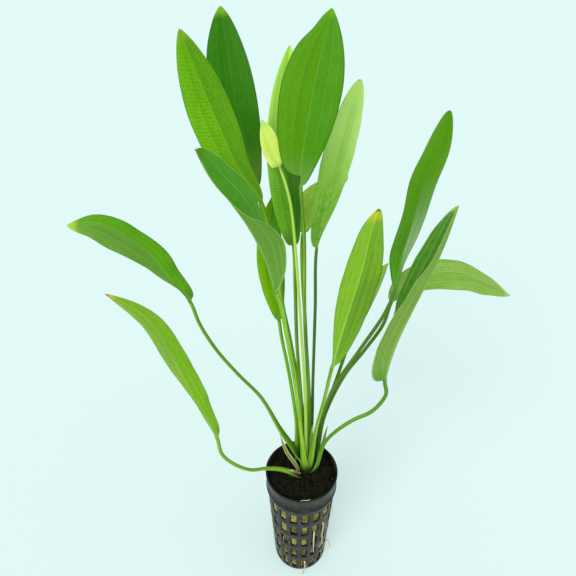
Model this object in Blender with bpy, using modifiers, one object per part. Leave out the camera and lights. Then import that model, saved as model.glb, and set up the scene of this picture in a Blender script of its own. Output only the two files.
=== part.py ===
"""A sword plant in its net pot: sixteen lance-shaped leaves on long stalks,
growing from a short rootstock in rock wool and soil.

The pot stands on z = 0 with its axis on z. +X is to the right and +Y away
from the side that is looked at. Shapes are given in millimetres and scaled
by MM when their meshes are made.
"""

import math
from dataclasses import dataclass

import bmesh
import bpy
import numpy as np
from mathutils import noise

MM = 0.001

# Net pot
POT_HEIGHT = 90.0
LIP_RADIUS = 23.5
LIP_BOTTOM = 88.2
COLLAR_RADIUS = 23.0
COLLAR_BOTTOM = 77.0
WALL_TOP = (22.4, 76.2)
WALL_FOOT = (18.2, 1.2)
POT_WALL = 1.0
FOOT_BEVEL = 1.2
FLOOR_DISC_RADIUS = 7.0
FLOOR_SLOT_END = 14.5

# Holes in the pot's wall, in columns around it and rows up it
COLUMNS = 18
HOLE_ARC = math.radians(13.0)
RIB_ARC = math.radians(7.0)
FIRST_COLUMN = math.radians(6.0)
HOLE_ROWS = 5
HOLE_TOP = 72.8
HOLE_HEIGHT = 10.0
HOLE_PITCH = 14.8

# What fills the pot
CLEARANCE = 0.6
PLUG_BOTTOM = 1.7
PLUG_TOP = 76.0
SOIL_BOTTOM = 76.9
SOIL_EDGE = 85.6
SOIL_CREST = 87.2
SOIL_LUMPS = 1.4
CROWN = (3.0, 4.5)
ROOTSTOCK_RADIUS = 8.8
ROOTSTOCK_TOP = 89.3
ROOTSTOCK_DENTS = 0.06
SOIL_HOLE_RADIUS = 9.4

# Leaves: how they are sampled and how thick they are
ROUTE_STEPS = 24
STALK_RINGS = 8
BLADE_RINGS = 13
BLADE_THICKNESS = 0.7
STALK_FOOT_RADIUS = 1.5
STALK_TOP_RADIUS = 0.95
MIDRIB_TIP_RADIUS = 0.35
MARGIN_RADIUS = 0.4
FLARE = 0.14

# Roots that hang out of the holes
ROOT_RADIUS = 0.55
ROOT_STEP = 2.6


@dataclass
class Leaf:
    """One leaf. Pairs are the left and right half, seen on the upper face with the tip up."""

    route: tuple
    blade_from: int
    half_width: tuple
    belly: tuple
    shoulder: tuple
    tip_fullness: float
    facing: tuple
    fold: tuple
    foot_radius: float = STALK_FOOT_RADIUS
    stalk_radius: float = STALK_TOP_RADIUS
    wave: tuple = (0.0, 1.0)


# route: points of the stalk and the midrib, from the crown to the tip
# blade_from: the route point where the blade starts
# belly: how far along the blade its halves are widest
# shoulder and tip_fullness: powers, where a smaller one makes a fuller end
# facing: where the upper face looks, from the blade's base to its tip
# fold: how far the halves are raised, in degrees, from base to tip
# wave: height and number of the ripples of the margins
LEAVES = {
    "leaf_upper_left": Leaf(
        route=((-2.4, 8.9, 90), (-2, 9, 136), (-7, 10, 176), (-12, 11, 217), (-17, 14, 252),
               (-22, 16, 272), (-33, 18, 289), (-40, 20, 307), (-47, 21, 326), (-53, 21, 345)),
        blade_from=5, half_width=(12, 9), belly=(0.5, 0.55), shoulder=(0.6, 0.5), tip_fullness=0.7,
        facing=((0.3, -1, 0.1), (0.35, -1, 0.3)), fold=((15, 22),)),
    "leaf_front_twisted": Leaf(
        route=((1.75, -3.1, 90), (-1, -8, 133), (-5, -15, 181), (-9, -23, 218), (-12, -30, 243),
               (-14, -34, 254), (-17, -41, 272), (-22, -49, 290), (-27, -56, 303), (-32, -62, 314),
               (-35, -66, 324)),
        blade_from=5, half_width=(9.2, 12), belly=(0.4, 0.5), shoulder=(0.75, 0.6), tip_fullness=0.75,
        facing=((0.5, 1, 0.1), (1, 0.3, 0.6), (0.9, -0.5, 0.8)),
        fold=((38, 45), (37, 44), (19, 42), (-5, 40))),
    "leaf_back_left": Leaf(
        route=((0.5, 10.8, 90), (0, 14, 131), (-7, 21, 178), (-14, 28, 213), (-22, 37, 252),
               (-25, 42, 269), (-30, 48, 286), (-35, 56, 306), (-39, 65, 327), (-42, 74, 349)),
        blade_from=5, half_width=(13, 11.5), belly=(0.5, 0.52), shoulder=(0.6, 0.6), tip_fullness=0.66,
        facing=((0.1, -1, 0.1), (0.1, -1, 0.3)), fold=((15, 18),)),
    "leaf_centre_broad": Leaf(
        route=((6.2, 3.1, 90), (3, 2, 154), (0, 5, 209), (-1, 12, 257), (-3, 17, 285),
               (0, 22, 308), (4, 29, 328), (10, 38, 351)),
        blade_from=4, half_width=(14.5, 13.2), belly=(0.42, 0.56), shoulder=(0.38, 0.5), tip_fullness=0.8,
        facing=((0, -1, 0.1), (-0.1, -1, 0.2)), fold=((12, 14),)),
    "leaf_centre_back": Leaf(
        route=((1, 6.6, 90), (-1, 6, 148), (-4, 11, 190), (-5, 16, 221), (-6, 20, 246),
               (-9, 25, 271), (-11, 32, 301), (-10, 37, 320), (-8, 42, 336)),
        blade_from=4, half_width=(10.5, 8), belly=(0.42, 0.4), shoulder=(0.5, 0.4), tip_fullness=0.8,
        facing=((0.25, -1, 0.1), (0.2, -1, 0.2)), fold=((25, 35),)),
    "leaf_young": Leaf(
        route=((3.1, 0.7, 90), (1, -2, 156), (-2, 2, 205), (-5, 10, 246), (-8, 16, 272),
               (-13, 20, 288), (-17, 22, 296), (-21, 24, 308)),
        blade_from=5, half_width=(5, 4.5), belly=(0.4, 0.5), shoulder=(0.5, 0.5), tip_fullness=0.8,
        facing=((0.2, -1, 0.1), (0, -1, 0.2)), fold=((20, 20),), foot_radius=1.1, stalk_radius=0.7),
    "leaf_centre_right": Leaf(
        route=((4.3, 11.1, 90), (6, 10, 124), (6, 12, 161), (6, 16, 210), (6, 21, 244),
               (11, 27, 268), (15, 33, 286), (21, 42, 307), (26, 50, 320)),
        blade_from=4, half_width=(9.5, 7.5), belly=(0.32, 0.5), shoulder=(0.5, 0.7), tip_fullness=0.9,
        facing=((0.2, -1, 0.1), (0.3, -1, 0.2)), fold=((18, 30),), stalk_radius=0.8),
    "leaf_back_short": Leaf(
        route=((4.9, 6.7, 90), (4, 8, 145), (1, 15, 194), (-1, 26, 250), (4, 38, 256),
               (13, 55, 260), (25, 72, 261)),
        blade_from=3, half_width=(11.5, 8), belly=(0.42, 0.42), shoulder=(0.5, 0.5), tip_fullness=0.9,
        facing=((-0.4, -0.5, 1), (-0.3, -0.5, 1)), fold=((15, 15),)),
    "leaf_left_inner": Leaf(
        route=((-4.1, 5.8, 90), (-4, 4, 133), (-8.5, 7, 170), (-12.5, 12, 191), (-14, 16, 201),
               (-17, 22, 218), (-19, 26, 240), (-18, 30, 258), (-15, 33, 270)),
        blade_from=4, half_width=(8, 8), belly=(0.48, 0.48), shoulder=(0.55, 0.55), tip_fullness=0.8,
        facing=((0.3, -1, 0.1), (0.3, -1, 0.3)), fold=((20, 35),)),
    "leaf_front_right": Leaf(
        route=((5.5, -2.8, 90), (8, -6, 138), (11, -9, 162), (14, -14, 194), (19, -20, 232),
               (23, -25, 261), (24, -28, 277), (26, -30, 289)),
        blade_from=3, half_width=(11, 7.3), belly=(0.47, 0.6), shoulder=(0.45, 0.8), tip_fullness=0.6,
        facing=((-0.1, 1, 0.3), (-0.2, 1, 0.3)), fold=((12, 12),)),
    "leaf_right_tall": Leaf(
        route=((10.1, 2.75, 90), (12, 4, 129), (17, 7, 154), (32, 12, 182), (45, 17, 205),
               (50, 21, 220), (52, 26, 234), (56, 31, 249), (61, 37, 273), (68, 43, 290),
               (71, 48, 306)),
        blade_from=5, half_width=(8.5, 7.6), belly=(0.42, 0.56), shoulder=(0.5, 0.8), tip_fullness=0.7,
        facing=((-0.1, -1, 0.1), (-0.45, -1, 0.2)), fold=((20, 45), (12, 40))),
    "leaf_right_folded": Leaf(
        route=((8.5, -0.6, 90), (13, -8, 126), (19, -13, 143), (27, -19, 159), (34, -24, 170),
               (38, -27, 180), (40, -28, 188), (38, -29, 199), (40, -29, 220), (45, -27, 239),
               (51, -24, 256), (56, -20, 270), (62, -14, 283)),
        blade_from=7, half_width=(11, 9.5), belly=(0.55, 0.4), shoulder=(0.5, 0.35), tip_fullness=0.65,
        facing=((-1, 0.5, 0.3), (-0.9, -0.1, 0.5)), fold=((48, 48),)),
    "leaf_far_right": Leaf(
        route=((9.8, 6.5, 90), (14, 9, 132), (25, 13, 162), (36, 17, 178), (46, 22, 193),
               (50, 26, 206), (57, 30, 215), (72, 35, 219), (89, 38, 218), (107, 40, 210),
               (124, 41, 200)),
        blade_from=5, half_width=(9.5, 13), belly=(0.4, 0.5), shoulder=(0.6, 0.8), tip_fullness=0.75,
        facing=((-0.3, -0.5, 1), (0.1, -0.35, 1)), fold=((10, 10),)),
    "leaf_right_inner": Leaf(
        route=((7.6, 9.5, 90), (12, 13, 122), (20, 19, 148), (28, 25, 179), (33, 29, 198),
               (40, 33, 213), (48, 37, 225)),
        blade_from=3, half_width=(8, 5.5), belly=(0.5, 0.5), shoulder=(0.6, 0.6), tip_fullness=0.9,
        facing=((-0.4, -0.8, 0.4), (-0.4, -0.8, 0.5)), fold=((15, 15),)),
    "leaf_far_left": Leaf(
        route=((-0.1, 2.9, 90), (-6, 0, 112), (-14, 4, 125), (-25, 7, 149), (-38, 9, 166),
               (-49, 10, 183), (-57, 10, 202), (-61, 10, 218), (-71, 10, 234), (-77, 10, 245),
               (-90, 9, 259), (-100, 7, 265), (-112, 4, 265)),
        blade_from=7, half_width=(11, 7.2), belly=(0.7, 0.4), shoulder=(0.8, 0.4), tip_fullness=0.7,
        facing=((0.4, -0.5, 0.6), (0.1, -0.5, 0.8)), fold=((8, 8),), wave=(0.8, 2.2)),
    "leaf_low_left": Leaf(
        route=((-2.8, -3.4, 90.5), (-12, -3, 95), (-22, -8, 102), (-31, -15, 110), (-39, -22, 124),
               (-45, -28, 141), (-46, -33, 162), (-50, -36, 180), (-58, -42, 220), (-63, -47, 246),
               (-68, -50, 256), (-76, -54, 266)),
        blade_from=6, half_width=(5, 6.5), belly=(0.72, 0.4), shoulder=(1.2, 0.5), tip_fullness=0.75,
        facing=((0.6, -0.5, 0.6), (0.2, -0.5, 0.8)), fold=((15, 15),)),
}

# Withered leaf sheaths at the crown: short strips that start beside the stalks
SHEATHS = {
    "sheath_left": Leaf(
        route=((-4.3, 1.4, 94), (-5.1, -2.9, 99), (-7.8, -3.4, 108.6), (-11.7, -3.3, 118.4),
               (-14, -3.2, 128.5)),
        blade_from=0, half_width=(2, 2), belly=(0.4, 0.4), shoulder=(0.3, 0.3), tip_fullness=0.9,
        facing=((0.6, -0.8, 0.3), (0.7, -0.7, 0.3)), fold=((25, 25),), foot_radius=0.6, stalk_radius=0.4),
    "sheath_centre": Leaf(
        route=((5.7, 0.3, 90.3), (5.9, -0.5, 96), (5.8, -0.6, 110), (5.7, -0.7, 123), (6.1, -0.9, 134)),
        blade_from=0, half_width=(1.6, 1.6), belly=(0.4, 0.4), shoulder=(0.3, 0.3), tip_fullness=0.9,
        facing=((0.1, -1, 0.1), (0.1, -1, 0.1)), fold=((10, 10),), foot_radius=0.6, stalk_radius=0.4),
    "sheath_right": Leaf(
        route=((11.8, 0, 90.3), (12.2, -0.5, 105.5), (13.2, -0.3, 118), (14.2, 0, 126), (15.1, 0.2, 132)),
        blade_from=0, half_width=(1.2, 1.2), belly=(0.5, 0.5), shoulder=(0.3, 0.3), tip_fullness=0.9,
        facing=((-0.5, -1, 0.1), (-0.5, -1, 0.1)), fold=((15, 15),), foot_radius=0.5, stalk_radius=0.35),
}

# Roots: points of azimuth from the front towards +X, height, and distance off the pot's wall
ROOTS = {
    "root_front": ((24.5, 50.5, -0.4), (23.2, 49.2, 0.5), (22.5, 46.5, 1.2), (23, 41, 0.9), (23.8, 35, 0.9),
                   (24.8, 29, 0.9), (25.6, 24, 1.2)),
    "root_right": ((43.5, 55, -0.4), (42.4, 53.6, 0.5), (40.8, 51, 1.2), (41.4, 45, 1), (42.6, 38, 0.9),
                   (44, 32, 1.0), (45, 27.5, 1.2)),
    "root_side": ((66, 24, -0.4), (67, 21.8, 0.5), (68, 20.3, 1.8), (67, 18.8, 3.3), (65, 17, 4.2),
                  (62.5, 15.8, 4.4)),
    "root_low": ((9, 12, -0.4), (9.5, 9.6, 0.4), (9, 6.5, 1.1), (7.5, 3.2, 1.2), (6, 1.3, 2.4),
                 (4.5, 1.2, 3.8)),
}


def principled(name, color, roughness, metallic=0.0):
    """A plain material of one colour."""
    material = bpy.data.materials.new(name)
    material.use_nodes = True
    shader = material.node_tree.nodes["Principled BSDF"]
    shader.inputs["Base Color"].default_value = (*color, 1.0)
    shader.inputs["Roughness"].default_value = roughness
    shader.inputs["Metallic"].default_value = metallic
    return material


def add_object(name, data, material, collection):
    """Link a mesh or a curve as a named object with one material."""
    data.name = name
    data.materials.append(material)
    thing = bpy.data.objects.new(name, data)
    collection.objects.link(thing)
    return thing


def to_mesh(name, bm, sharp_angle):
    """Turn a bmesh in millimetres into a mesh in metres, shaded smooth up to an angle in degrees."""
    bmesh.ops.remove_doubles(bm, verts=bm.verts, dist=0.0005)
    bmesh.ops.recalc_face_normals(bm, faces=bm.faces)
    bmesh.ops.scale(bm, verts=bm.verts, vec=(MM, MM, MM))
    mesh = bpy.data.meshes.new(name)
    bm.to_mesh(mesh)
    bm.free()
    mesh.shade_smooth()
    mesh.set_sharp_from_angle(angle=math.radians(sharp_angle))
    return mesh


def turned(profile, steps, start=0.0, closed=False):
    """Spin a profile of (radius, height) points about Z, one step after another."""
    bm = bmesh.new()
    verts = [bm.verts.new((r * math.cos(start), r * math.sin(start), z)) for r, z in profile]
    pairs = list(zip(verts, verts[1:]))
    if closed:
        pairs.append((verts[-1], verts[0]))
    geometry = verts + [bm.edges.new(pair) for pair in pairs]
    for step in steps:
        spun = bmesh.ops.spin(bm, geom=geometry, cent=(0, 0, 0), axis=(0, 0, 1), angle=step, steps=1)
        geometry = spun["geom_last"]
    bmesh.ops.remove_doubles(bm, verts=bm.verts, dist=0.0005)
    return bm


def wall_radius(z):
    """Outer radius of the pot's tapered wall."""
    (top_radius, top_z), (foot_radius, foot_z) = WALL_TOP, WALL_FOOT
    return foot_radius + (top_radius - foot_radius) * (z - foot_z) / (top_z - foot_z)


def hole_rows():
    """Bottom and top of each row of holes, from the lowest row up."""
    tops = [HOLE_TOP - HOLE_PITCH * row for row in reversed(range(HOLE_ROWS))]
    return [(top - HOLE_HEIGHT, top) for top in tops]


def net_pot(collection):
    """A thin tapered pot with a collar, a small lip and a grid of holes."""
    profile = [(0, 0), (FLOOR_DISC_RADIUS, 0), (FLOOR_SLOT_END, 0),
               (WALL_FOOT[0] - FOOT_BEVEL, 0), WALL_FOOT]
    profile += [(wall_radius(z), z) for row in hole_rows() for z in row]
    profile += [WALL_TOP, (COLLAR_RADIUS, COLLAR_BOTTOM), (COLLAR_RADIUS, LIP_BOTTOM),
                (LIP_RADIUS, LIP_BOTTOM + 0.6), (LIP_RADIUS, POT_HEIGHT)]
    start = FIRST_COLUMN - math.pi / 2 - HOLE_ARC / 2
    bm = turned(profile, [HOLE_ARC, RIB_ARC] * COLUMNS, start)
    bmesh.ops.recalc_face_normals(bm, faces=bm.faces)

    def is_hole(face):
        centre = face.calc_center_median()
        turn = (math.atan2(centre.y, centre.x) - start) % (HOLE_ARC + RIB_ARC)
        in_row = any(low < centre.z < high for low, high in hole_rows())
        in_slot = centre.z < MM and FLOOR_DISC_RADIUS < centre.xy.length < FLOOR_SLOT_END
        return turn < HOLE_ARC and (in_row or in_slot)

    holes = [face for face in bm.faces if is_hole(face)]
    bmesh.ops.delete(bm, geom=holes, context="FACES")
    black_plastic = principled("black_plastic", (0.035, 0.038, 0.042), 0.4)
    pot = add_object("net_pot", to_mesh("net_pot", bm, 30), black_plastic, collection)
    wall = pot.modifiers.new("wall", "SOLIDIFY")
    wall.thickness = POT_WALL * MM
    wall.offset = -1
    wall.use_even_offset = True
    wall.use_quality_normals = True


def rock_wool_plug(collection):
    """The tapered plug of rock wool that fills the pot below the soil."""
    inset = POT_WALL + CLEARANCE
    foot = wall_radius(PLUG_BOTTOM) - inset
    top = wall_radius(PLUG_TOP) - inset
    profile = [(0, PLUG_BOTTOM), (foot - 0.8, PLUG_BOTTOM), (foot, PLUG_BOTTOM + 0.8),
               (top, PLUG_TOP), (0, PLUG_TOP)]
    bm = turned(profile, [math.tau / 24] * 24)
    wool = principled("rock_wool", (0.30, 0.28, 0.10), 0.95)
    add_object("rock_wool_plug", to_mesh("rock_wool_plug", bm, 40), wool, collection)


def top_soil(collection):
    """A lumpy ring of soil in the collar, open around the rootstock."""
    inset = POT_WALL + CLEARANCE
    edge = COLLAR_RADIUS - inset
    profile = [(SOIL_HOLE_RADIUS, SOIL_BOTTOM), (edge - 0.6, SOIL_BOTTOM), (edge, SOIL_BOTTOM + 1),
               (edge, SOIL_EDGE), (edge - 4, SOIL_CREST - 0.5), (edge - 8.5, SOIL_CREST),
               (SOIL_HOLE_RADIUS, SOIL_CREST)]
    bm = turned(profile, [math.tau / 26] * 26, closed=True)
    for vert in bm.verts:
        inward = (edge - vert.co.xy.length) / (edge - SOIL_HOLE_RADIUS)
        vert.co.x += CROWN[0] * inward
        vert.co.y += CROWN[1] * inward
        if vert.co.z > SOIL_EDGE + 1:
            vert.co.z += SOIL_LUMPS * noise.noise(vert.co * 0.35)
    soil = principled("soil", (0.012, 0.011, 0.009), 1.0)
    add_object("top_soil", to_mesh("top_soil", bm, 60), soil, collection)


def rootstock(collection):
    """The short knobbly stem that all the leaves grow from."""
    r = ROOTSTOCK_RADIUS
    top = ROOTSTOCK_TOP
    profile = [(0, SOIL_BOTTOM), (0.9 * r, SOIL_BOTTOM), (r, 0.5 * (SOIL_BOTTOM + top)),
               (0.94 * r, top - 2.4), (0.72 * r, top - 0.8), (0.4 * r, top - 0.1), (0, top)]
    bm = turned(profile, [math.tau / 16] * 16)
    for vert in bm.verts:
        dent = 1 - ROOTSTOCK_DENTS * abs(noise.noise(vert.co * 0.5))
        vert.co.x = CROWN[0] + vert.co.x * dent
        vert.co.y = CROWN[1] + vert.co.y * dent
    brown = principled("rootstock", (0.10, 0.075, 0.035), 0.9)
    add_object("rootstock", to_mesh("rootstock", bm, 60), brown, collection)


def unit(vectors):
    """Vectors, one a row, scaled to length 1."""
    return vectors / np.linalg.norm(vectors, axis=-1, keepdims=True)


def smooth_route(points):
    """A centripetal Catmull-Rom curve through points, and its length at each of its own points."""
    p = np.array(points, float)
    p = np.vstack([2 * p[0] - p[1], p, 2 * p[-1] - p[-2]])
    knots = np.append(0, np.cumsum(np.sqrt(np.linalg.norm(np.diff(p, axis=0), axis=1))))
    curve = []
    for i in range(1, len(p) - 2):
        k0, k1, k2, k3 = knots[i - 1:i + 3]
        for k in np.linspace(k1, k2, ROUTE_STEPS, endpoint=False):
            a1 = p[i - 1] + (p[i] - p[i - 1]) * (k - k0) / (k1 - k0)
            a2 = p[i] + (p[i + 1] - p[i]) * (k - k1) / (k2 - k1)
            a3 = p[i + 1] + (p[i + 2] - p[i + 1]) * (k - k2) / (k3 - k2)
            b1 = a1 + (a2 - a1) * (k - k0) / (k2 - k0)
            b2 = a2 + (a3 - a2) * (k - k1) / (k3 - k1)
            curve.append(b1 + (b2 - b1) * (k - k1) / (k2 - k1))
    curve = np.array([*curve, p[-2]])
    lengths = np.append(0, np.cumsum(np.linalg.norm(np.diff(curve, axis=0), axis=1)))
    return curve, lengths


def read_at(places, lengths, rows):
    """Rows of numbers that belong to lengths, read at other places."""
    return np.stack([np.interp(places, lengths, column) for column in np.array(rows, float).T], axis=-1)


def spread(rows, t):
    """Rows spread evenly from 0 to 1, read at t."""
    return read_at(t, np.linspace(0, 1, len(rows)), rows)


def half_outline(t, belly, shoulder, tip_fullness):
    """Width of a blade's half from 0 to 1, along its length t from 0 to 1."""
    swell = np.sin(math.pi * t ** (math.log(0.5) / math.log(belly))).clip(0, 1)
    return swell ** (shoulder + (tip_fullness - shoulder) * t)


def leaf_rings(leaf):
    """The leaf's cross-sections, as rings of eight points from the crown to the tip."""
    curve, lengths = smooth_route(leaf.route)
    blade_start = lengths[ROUTE_STEPS * leaf.blade_from]
    stalk_places = np.linspace(0, blade_start, STALK_RINGS, endpoint=False) if leaf.blade_from else []
    t = (1 - np.cos(np.linspace(0, math.pi, BLADE_RINGS))) / 2
    places = np.append(stalk_places, blade_start + (lengths[-1] - blade_start) * t)
    t = np.append(np.zeros(len(stalk_places)), t)

    middle = read_at(places, lengths, curve)
    forward = unit(read_at(places, lengths, np.gradient(curve, lengths, axis=0)))
    facing = spread(leaf.facing, t)
    normal = unit(facing - (facing * forward).sum(axis=-1, keepdims=True) * forward)
    side = np.cross(forward, normal)

    stalk_part = np.interp(places, [0, max(blade_start, 1e-6)], [leaf.foot_radius, leaf.stalk_radius])
    rib = np.where(t > 0, leaf.stalk_radius + (MIDRIB_TIP_RADIUS - leaf.stalk_radius) * t ** 0.6, stalk_part)
    flat = np.clip(t / FLARE, 0, 1) ** 0.5
    half = BLADE_THICKNESS / 2
    ripple = leaf.wave[0] * np.sin(math.tau * leaf.wave[1] * t) * np.sin(math.pi * t)
    raised = np.radians(spread(leaf.fold, t))

    def across(hand, out, up):
        return middle + side * (hand * out)[:, None] + normal * up[:, None]

    columns = []
    for i, hand in enumerate((-1, 1)):
        width = leaf.half_width[i] * half_outline(t, leaf.belly[i], leaf.shoulder[i], leaf.tip_fullness)
        out = width * np.cos(raised[:, i])
        up = width * np.sin(raised[:, i]) - hand * ripple
        round_part = rib * math.sqrt(0.5) * (1 - flat)
        margin = across(hand, rib * (1 - (1 - MARGIN_RADIUS) * flat) + out, up)
        upper = across(hand, round_part + 0.5 * out, round_part + half * flat + 0.5 * up)
        under = across(hand, round_part + 0.5 * out, 0.5 * up - round_part - half * flat)
        columns += [(margin, upper, under)]
    (left, left_upper, left_under), (right, right_upper, right_under) = columns
    top = across(1, 0 * rib, rib * (1 - flat) + half * flat)
    keel = across(1, 0 * rib, -rib)
    return np.stack([left, left_upper, top, right_upper, right, right_under, keel, left_under], axis=1)


def lofted(name, rings):
    """A closed mesh through rings of points, with a flat cap on each end."""
    bm = bmesh.new()
    rows = [[bm.verts.new(point) for point in ring] for ring in rings]
    count = len(rows[0])
    for lower, upper in zip(rows, rows[1:]):
        for i in range(count):
            j = (i + 1) % count
            bm.faces.new((lower[i], lower[j], upper[j], upper[i]))
    bm.faces.new(rows[0])
    bm.faces.new(reversed(rows[-1]))
    bmesh.ops.triangulate(bm, faces=bm.faces)
    return to_mesh(name, bm, 60)


def leaves(collection):
    """The sixteen leaves, each a stalk that flattens into a blade."""
    greens = {
        "leaf_centre_broad": (0.10, 0.26, 0.02),
        "leaf_young": (0.36, 0.50, 0.10),
        "leaf_low_left": (0.26, 0.45, 0.03),
        "leaf_front_right": (0.20, 0.38, 0.04),
    }
    for name, leaf in LEAVES.items():
        green = principled(name, greens.get(name, (0.16, 0.32, 0.04)), 0.4)
        add_object(name, lofted(name, leaf_rings(leaf)), green, collection)
    for name, sheath in SHEATHS.items():
        straw = principled(name, (0.45, 0.42, 0.14), 0.7)
        add_object(name, lofted(name, leaf_rings(sheath)), straw, collection)


def roots(collection):
    """Round roots that leave a hole of the pot and lie along its wall."""
    for name, places in ROOTS.items():
        route = []
        for azimuth, z, off_wall in places:
            angle = math.radians(azimuth) - math.pi / 2
            r = wall_radius(z) + off_wall
            route.append((r * math.cos(angle), r * math.sin(angle), z))
        curve, lengths = smooth_route(route)
        stops = np.linspace(0, lengths[-1], 1 + round(lengths[-1] / ROOT_STEP))
        data = bpy.data.curves.new(name, "CURVE")
        data.dimensions = "3D"
        data.bevel_depth = ROOT_RADIUS * MM
        data.bevel_resolution = 1
        data.use_fill_caps = True
        spline = data.splines.new("POLY")
        spline.points.add(len(stops) - 1)
        for point, place in zip(spline.points, read_at(stops, lengths, curve)):
            point.co = (*(place * MM), 1)
        cream = principled(name, (0.50, 0.40, 0.22), 0.7)
        add_object(name, data, cream, collection)


def build():
    """Clear the scene and model the plant."""
    for thing in list(bpy.data.objects):
        bpy.data.objects.remove(thing)
    collection = bpy.data.collections.new("potted_sword_plant")
    bpy.context.scene.collection.children.link(collection)
    net_pot(collection)
    rock_wool_plug(collection)
    top_soil(collection)
    rootstock(collection)
    leaves(collection)
    roots(collection)


build()
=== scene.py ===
# %% [markdown]
# # A potted sword plant
# This script dresses a plain model of a potted aquarium plant. The plain model
# gives every part its place and its size. Here each part gets its fine form and
# its finish. The work goes from the camera and the light, which show whether
# anything is right, over the leaves, which are most of the plant, down to the pot
# with its rock wool, soil and roots.

import math
from dataclasses import dataclass

import bmesh
import bpy
import numpy as np
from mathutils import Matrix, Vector, noise


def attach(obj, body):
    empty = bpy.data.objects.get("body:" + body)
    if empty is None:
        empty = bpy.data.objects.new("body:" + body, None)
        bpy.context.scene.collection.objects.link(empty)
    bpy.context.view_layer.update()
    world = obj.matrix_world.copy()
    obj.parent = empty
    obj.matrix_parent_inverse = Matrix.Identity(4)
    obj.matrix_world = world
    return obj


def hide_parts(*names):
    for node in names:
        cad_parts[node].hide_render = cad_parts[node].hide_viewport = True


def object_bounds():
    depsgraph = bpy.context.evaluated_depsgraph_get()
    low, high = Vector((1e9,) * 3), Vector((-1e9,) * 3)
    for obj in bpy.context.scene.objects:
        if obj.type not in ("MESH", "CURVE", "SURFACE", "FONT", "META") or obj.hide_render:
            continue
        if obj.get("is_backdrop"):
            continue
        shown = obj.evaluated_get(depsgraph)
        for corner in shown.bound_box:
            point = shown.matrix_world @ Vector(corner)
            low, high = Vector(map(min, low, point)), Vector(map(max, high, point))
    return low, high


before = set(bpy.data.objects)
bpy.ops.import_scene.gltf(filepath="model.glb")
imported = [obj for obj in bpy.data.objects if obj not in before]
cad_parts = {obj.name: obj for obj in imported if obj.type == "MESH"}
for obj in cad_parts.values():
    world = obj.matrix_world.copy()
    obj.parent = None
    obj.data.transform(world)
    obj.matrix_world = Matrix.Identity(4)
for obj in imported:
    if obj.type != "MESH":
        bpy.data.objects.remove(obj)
plain_low, plain_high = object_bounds()
print("the plain model has", len(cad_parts), "parts and is", plain_high.z, "m high")

# %% [markdown]
# Sizes below are in millimetres, as a ruler gives them, and MM turns them into
# Blender's metres. Colours are written as the screen shows them. Blender works
# with the amount of light instead, so one helper turns the first into the second.

# %% Units and colours
MM = 0.001


def light_of(hex_colour):
    """The linear colour, with alpha 1, of a colour as a screen shows it."""
    shown = [int(hex_colour[i:i + 2], 16) / 255 for i in (1, 3, 5)]
    linear = [c / 12.92 if c <= 0.04045 else ((c + 0.055) / 1.055) ** 2.4 for c in shown]
    return (*linear, 1.0)


print("leaf green is", [round(c, 3) for c in light_of("#5a9a12")])

# %% [markdown]
# The plant is seen from the front, from well above the pot's rim, with a rather
# wide lens. That is why the pot looks so short and the leaves lean towards the
# viewer. A camera is placed by its distance and its tilt, and nothing is shifted.

# %% Camera
CAMERA_PLACE = (-0.0089, -0.206, 0.370)
CAMERA_TILT = 33.7
scene = bpy.context.scene


def put(name, data):
    """An object in the scene, made from its data."""
    thing = bpy.data.objects.new(name, data)
    scene.collection.objects.link(thing)
    return thing


camera_data = bpy.data.cameras.new("camera")
camera_data.sensor_width = 36.0
camera_data.lens = 31.25
camera_data.clip_start = 0.01
camera = put("camera", camera_data)
camera.location = CAMERA_PLACE
camera.rotation_euler = (math.radians(90 - CAMERA_TILT), 0, 0)
scene.camera = camera
print("the camera looks down", CAMERA_TILT, "degrees")

# %% [markdown]
# The light of a product table is soft and comes from all sides, with a little
# more from the upper left. A white world gives the even part. Two sun lamps with
# a wide angle give the leaves a lit side and a shaded side without hard shadows.
# The Standard view keeps the greens as bright as they are. The floor is a light
# table, a milky sheet lit from below, so shadows on it stay faint. It is very wide,
# so that it fills the picture, and all the tint of the backdrop is in its sheet.

# %% Light
scene.view_settings.view_transform = "Standard"
scene.view_settings.look = "None"

world = bpy.data.worlds.new("studio")
scene.world = world
world.use_nodes = True
background = world.node_tree.nodes["Background"]
background.inputs["Color"].default_value = (1, 1, 1, 1)
background.inputs["Strength"].default_value = 0.66


def soft_sun(name, strength, spread_deg, from_point):
    """A sun lamp that shines from a point towards the origin."""
    data = bpy.data.lights.new(name, "SUN")
    data.energy = strength
    data.angle = math.radians(spread_deg)
    put(name, data).rotation_euler = Vector(from_point).to_track_quat("Z", "Y").to_euler()


soft_sun("key_light", 1.7, 35, (-0.7, -1.25, 1.35))
soft_sun("fill_light", 0.5, 80, (1.0, -0.6, 0.8))
print("two lamps and a bright world")

# %% Floor
FLOOR_REACH = 9.0


def new_material(name, **values):
    """A material, its tree and its Principled shader. Values name its sockets, with _ for each space."""
    material = bpy.data.materials.new(name)
    material.use_nodes = True
    shader = material.node_tree.nodes["Principled BSDF"]
    for label, value in values.items():
        shader.inputs[label.replace("_", " ")].default_value = value
    return material, material.node_tree, shader


floor_mesh = bpy.data.meshes.new("floor")
corners = [(x * FLOOR_REACH, y * FLOOR_REACH, 0) for x, y in ((-1, -1), (1, -1), (1, 1), (-1, 1))]
floor_mesh.from_pydata(corners, [], [(0, 1, 2, 3)])
sheet, _, _ = new_material("pale_floor", Base_Color=light_of("#a9bbb9"), Emission_Color=light_of("#e0fbf8"),
                           Emission_Strength=0.42, Roughness=0.9, Specular_IOR_Level=0.0)
floor_mesh.materials.append(sheet)
floor = put("floor", floor_mesh)
floor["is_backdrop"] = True
print("a floor of", 2 * FLOOR_REACH, "m")

# %% [markdown]
# Every material here is drawn with nodes. These short helpers add one node and
# give back its output, so that a recipe reads from top to bottom like a sum.

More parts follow.
